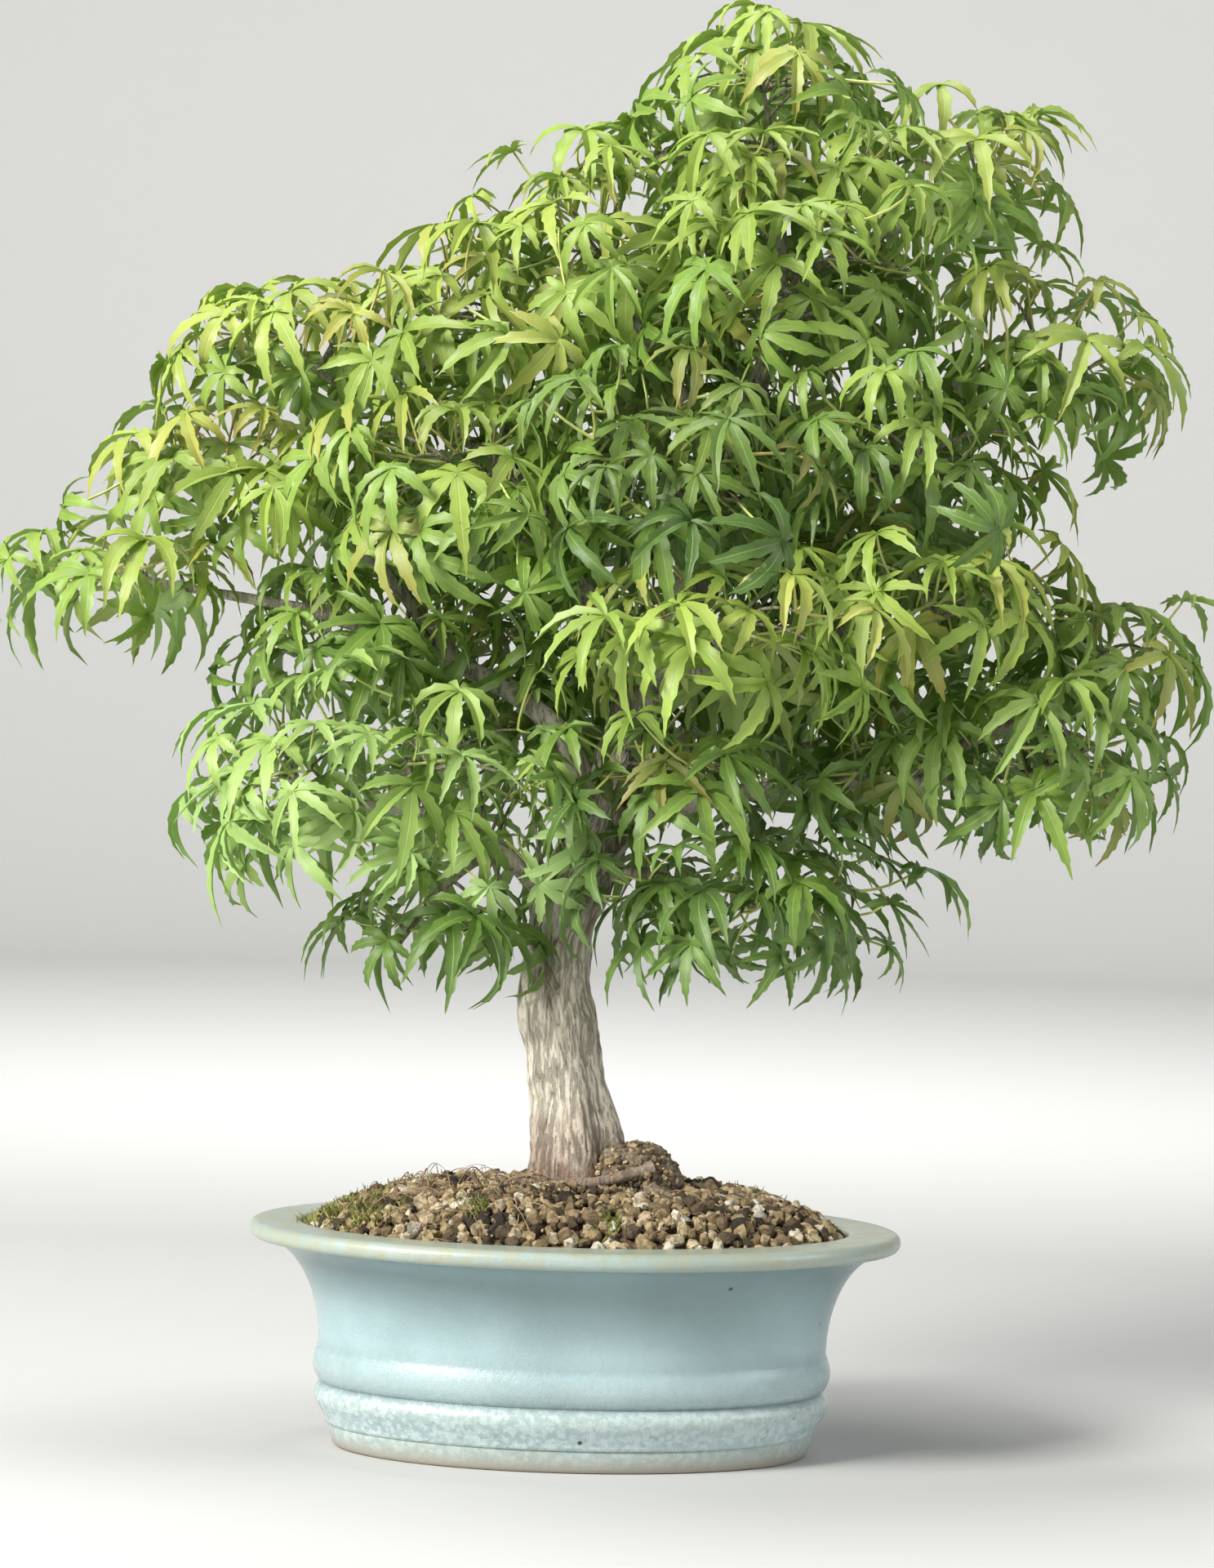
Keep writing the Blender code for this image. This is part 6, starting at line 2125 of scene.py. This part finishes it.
@dataclass
class Crown:
    """The leafy sprays: one piece for each of the frame's, with finer leaves and many more."""

    layout: CrownLayout
    form: LeafForm = LeafForm()
    layers: tuple[Layer, ...] = (
        Layer(0.82, 1.10, 99.0, 0.0128, Detail.FINE, SEED + 40, placed=STRAYS),
        Layer(1.08, 1.60, 2.30, 0.0145, Detail.MIDDLE, SEED + 41, 0.86, 0.95, 0.8),
        Layer(0.25, 0.78, 99.0, 0.0155, Detail.PLAIN, SEED + 42, 0.52, 0.6, 0.9),
    )
    behind: float = 0.020
    # leaves are lighter higher in a pad: partly younger growth, partly painted light
    age_and_light_rise: float = 0.14
    age_spread: float = 0.13
    flush: float = 0.07

    def looks(self, pad: Pad, poses: list[Pose], depth: float, rng: np.random.Generator) -> dict[str, Array]:
        """How old and lit each leaf is painted, its blush, and its mint tint and painted sheen. Each is the
        pad's own value. Leaves are lighter higher up, partly as younger growth and partly as painted light,
        and darker within the crown as painted shade.

        Args:
            pad: the pad.
            poses: the leaves.
            depth: 1 on the pad's outside, less within, where the leaves are darkened and their blush dimmed
                as painted shade.
            rng: the random numbers.

        Returns:
            The values by name.
        """
        count = len(poses)
        height = np.array([pose[1][2] - pad.centre[2] for pose in poses]) / pad.half[2]
        # lighter higher in the pad: partly younger growth, partly painted light
        age = pad.age + self.age_and_light_rise * height + rng.normal(0, self.age_spread, count)
        # painted shade: leaves within the crown are darker, and their blush is dimmed
        age = age - 0.8 * (1 - depth)
        blush = pad.blush * rng.uniform(0, 1.5, count) * np.clip(0.5 + 0.7 * height, 0, 1.3)
        blush = np.where((rng.random(count) < self.flush) & (pad.blush > 0.05), 0.5, blush) * depth
        # the mint tint, partly a painted sheen
        cool = pad.cool * rng.uniform(0.4, 1.4, count)
        return {"age": np.clip(age, 0, 1), "blush": np.clip(blush, 0, 0.9), "cool": np.clip(cool, 0, 0.8)}

    def build(self) -> None:
        """Make every spray."""
        trees = self.layout.wood_trees()
        sprays = self.layout.main_leaves(self.layout.main_twigs(trees), trees)
        taken = [pose[1] for _, _, leaves in sprays for pose in leaves]
        LOG.info("leaves of the solids: %d", len(taken))
        fills = []
        for layer in self.layers:
            fills.append(self.layout.fill_sprays(sprays, layer, taken))
            count = sum(len(leaves) for _, _, leaves in fills[-1])
            LOG.info("leaves from %.2f to %.2f: %d", layer.least, layer.most, count)
        materials = [finish.material() for finish in (LeafFinish(), StalkFinish(), BarkFinish())]
        slots = {row["node"]: row["material_slot"] for row in frame["record"]["subparts"]}
        counts: dict[str, int] = {}
        for index, (name, points, leaves) in enumerate(sprays):
            counts[name] = counts.get(name, 0) + 1
            node = f"spray_{name}_{counts[name]}"
            rng = np.random.default_rng(SEED * 50 + index)
            shell = Shell()
            pad = PADS[name]
            kinds = [(leaves, 1.0, Detail.FINE)]
            for layer, fill in zip(self.layers, fills):
                more = [pose for near, _, found in fill if near == index for pose in found]
                kinds.append((more, layer.depth, layer.detail))
            groups = []
            for poses, depth, detail in kinds:
                plainer = Detail.MIDDLE if detail is Detail.FINE else Detail.PLAIN
                groups.append(([pose for pose in poses if pose[1][1] < self.behind], depth, detail))
                groups.append(([pose for pose in poses if pose[1][1] >= self.behind], depth, plainer))
            for number, (poses, depth, detail) in enumerate(groups):
                if poses:
                    looks = self.looks(pad, poses, depth, rng)
                    seed = (SEED * 60 + index) * 10 + number
                    self.form.add_blades(shell, poses, looks, detail, seed)
                    self.form.add_stalks(shell, poses, looks, seed)
            lines = [points] + [line for fill in fills for near, line, _ in fill if near == index]
            self.add_twigs(shell, np.array(lines))
            piece = shell.build(f"leaves_{name}_{counts[name]}", materials, 55)
            settle(piece, slots[node], node)

    def add_twigs(self, shell: Shell, ends: Array) -> None:
        """Add twigs: each a parabola through its three points, thinning from the first to the
        last.

        Args:
            shell: the piece that they join.
            ends: twigs by 3 points by 3.
        """
        wood = self.layout.wood
        lines = bowed_lines(ends[:, 0], ends[:, 1], ends[:, 2], 7)
        taper = np.linspace(wood.twig_radius, wood.twig_tip * 0.7, 7)
        thin = np.where(np.arange(len(ends)) == 0, 1.15, 0.75)
        radii = taper[None] * thin[:, None]
        count = len(ends)
        # twigs take the darker upper colour too: grey-green bark and painted shadow of the crown
        shell.tubes(lines, radii, 6, 2, young=np.full(count, 0.75), high=np.full(count, 0.5))


# Studio


@dataclass(frozen=True)
class Studio:
    """A pale floor that sweeps up behind, soft lights, and the camera."""

    camera_place: Point = (0.0061, -1.300, 0.231)
    pitch: float = -1.04
    roll: float = 1.55
    focal_pixels: float = 5122.0
    frame_height: float = 1920.0
    sensor: float = 36.0
    floor_tone: Colour = rgb(0.59, 0.59, 0.58)
    air_tone: Colour = rgb(0.75, 0.78, 0.80)
    air_strength: float = 0.16

    def camera(self) -> None:
        """Set the camera at the photograph's place."""
        lens = bpy.data.cameras.new("camera")
        lens.sensor_width = self.sensor
        lens.sensor_fit = "AUTO"
        lens.lens = self.sensor * self.focal_pixels / self.frame_height
        lens.clip_start = 0.05
        made = bpy.data.objects.new("camera", lens)
        turn = Matrix.Rotation(math.radians(90 + self.pitch), 4, "X")
        turn @= Matrix.Rotation(math.radians(self.roll), 4, "Z")
        made.matrix_world = Matrix.Translation(self.camera_place) @ turn
        bpy.context.scene.collection.objects.link(made)
        bpy.context.scene.camera = made

    def floor(self) -> None:
        """Make the floor: flat, then a quarter circle up to a wall, all round the object."""
        reach, bend, sides = 2.4, 0.6, 96
        rise = np.radians(np.linspace(0, 90, 16))
        radius = np.concatenate([[0.3, 1.2], reach + bend * np.sin(rise), [reach + bend]])
        height = np.concatenate([[0.0, 0.0], bend * (1 - np.cos(rise)), [3.2]])
        rings = ovals(radius, radius, height, sides)
        quads, caps = strip_faces(len(radius), sides)
        shell = Shell()
        points = np.concatenate([rings.reshape(-1, 3), [(0, 0, 0), (0, 0, 3.2)]])
        shell.add(points, [quads[:, ::-1], caps[:sides, ::-1]])
        tone = PlainFinish("studio_floor", self.floor_tone, self.floor_tone, 0.8, blotch=3.0, rise=0.0)
        made = shell.build("studio_floor", [tone.material()], 60)

    def light(self, name: str, place: Point, goal: Point,
              size: float, power: float, tone: Point) -> None:
        """Hang a square soft light.

        Args:
            name: its name.
            place: where it hangs.
            goal: the point that it faces.
            size: its side.
            power: in watts.
            tone: its colour.
        """
        lamp = bpy.data.lights.new(name, "AREA")
        lamp.size = size
        lamp.energy = power
        lamp.color = tone
        made = bpy.data.objects.new(name, lamp)
        aim = Vector(goal) - Vector(place)
        made.rotation_euler = aim.to_track_quat("-Z", "Y").to_euler()
        made.location = place
        bpy.context.scene.collection.objects.link(made)

    def build(self) -> None:
        """Make the whole studio."""
        self.camera()
        self.floor()
        middle = (0.0, 0.0, 0.22)
        self.light("key", (-1.20, -1.02, 1.10), middle, 0.6, 53, (1.0, 0.98, 0.94))
        self.light("side", (1.45, -0.45, 0.75), middle, 0.6, 7, (0.95, 0.97, 1.0))
        self.light("top", (-0.1, 0.10, 1.9), middle, 0.7, 18, (1.0, 1.0, 1.0))
        self.light("backdrop", (0.0, 0.9, 1.2), (0.0, 2.9, 0.5), 1.2, 26, (1.0, 1.0, 1.0))
        world = bpy.data.worlds.new("studio_air")
        world.use_nodes = True
        air = world.node_tree.nodes["Background"].inputs
        air["Color"].default_value = self.air_tone
        air["Strength"].default_value = self.air_strength
        bpy.context.scene.world = world
        bpy.context.scene.view_settings.view_transform = "Standard"


def dress_drains() -> None:
    """Give the drain screens and their wire staples their finishes."""
    plastic = PlainFinish("screen_plastic", rgb(0.020, 0.021, 0.020), rgb(0.045, 0.046, 0.042), 0.5)
    wire = PlainFinish("aluminium_wire", rgb(0.50, 0.45, 0.40), rgb(0.36, 0.32, 0.28), 0.38, 1.0)
    for node, finish in (("drain_screen", plastic.material()), ("screen_staple", wire.material())):
        for side in ("left", "right"):
            materials = frame["nodes"][f"{node}_{side}"].data.materials
            materials.clear()
            materials.append(finish)


def main() -> None:
    """Build every sub-assembly round the frame."""
    logging.basicConfig(level=logging.INFO, format="%(message)s")
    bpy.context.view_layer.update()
    pot = PotSizes()
    wood = WoodSizes()
    Studio().build()
    GlazedPot(pot).build()
    SoilBed(pot).build()
    MapleWood(wood).build()
    Crown(CrownLayout(wood)).build()
    dress_drains()


if __name__ == "__main__":
    main()
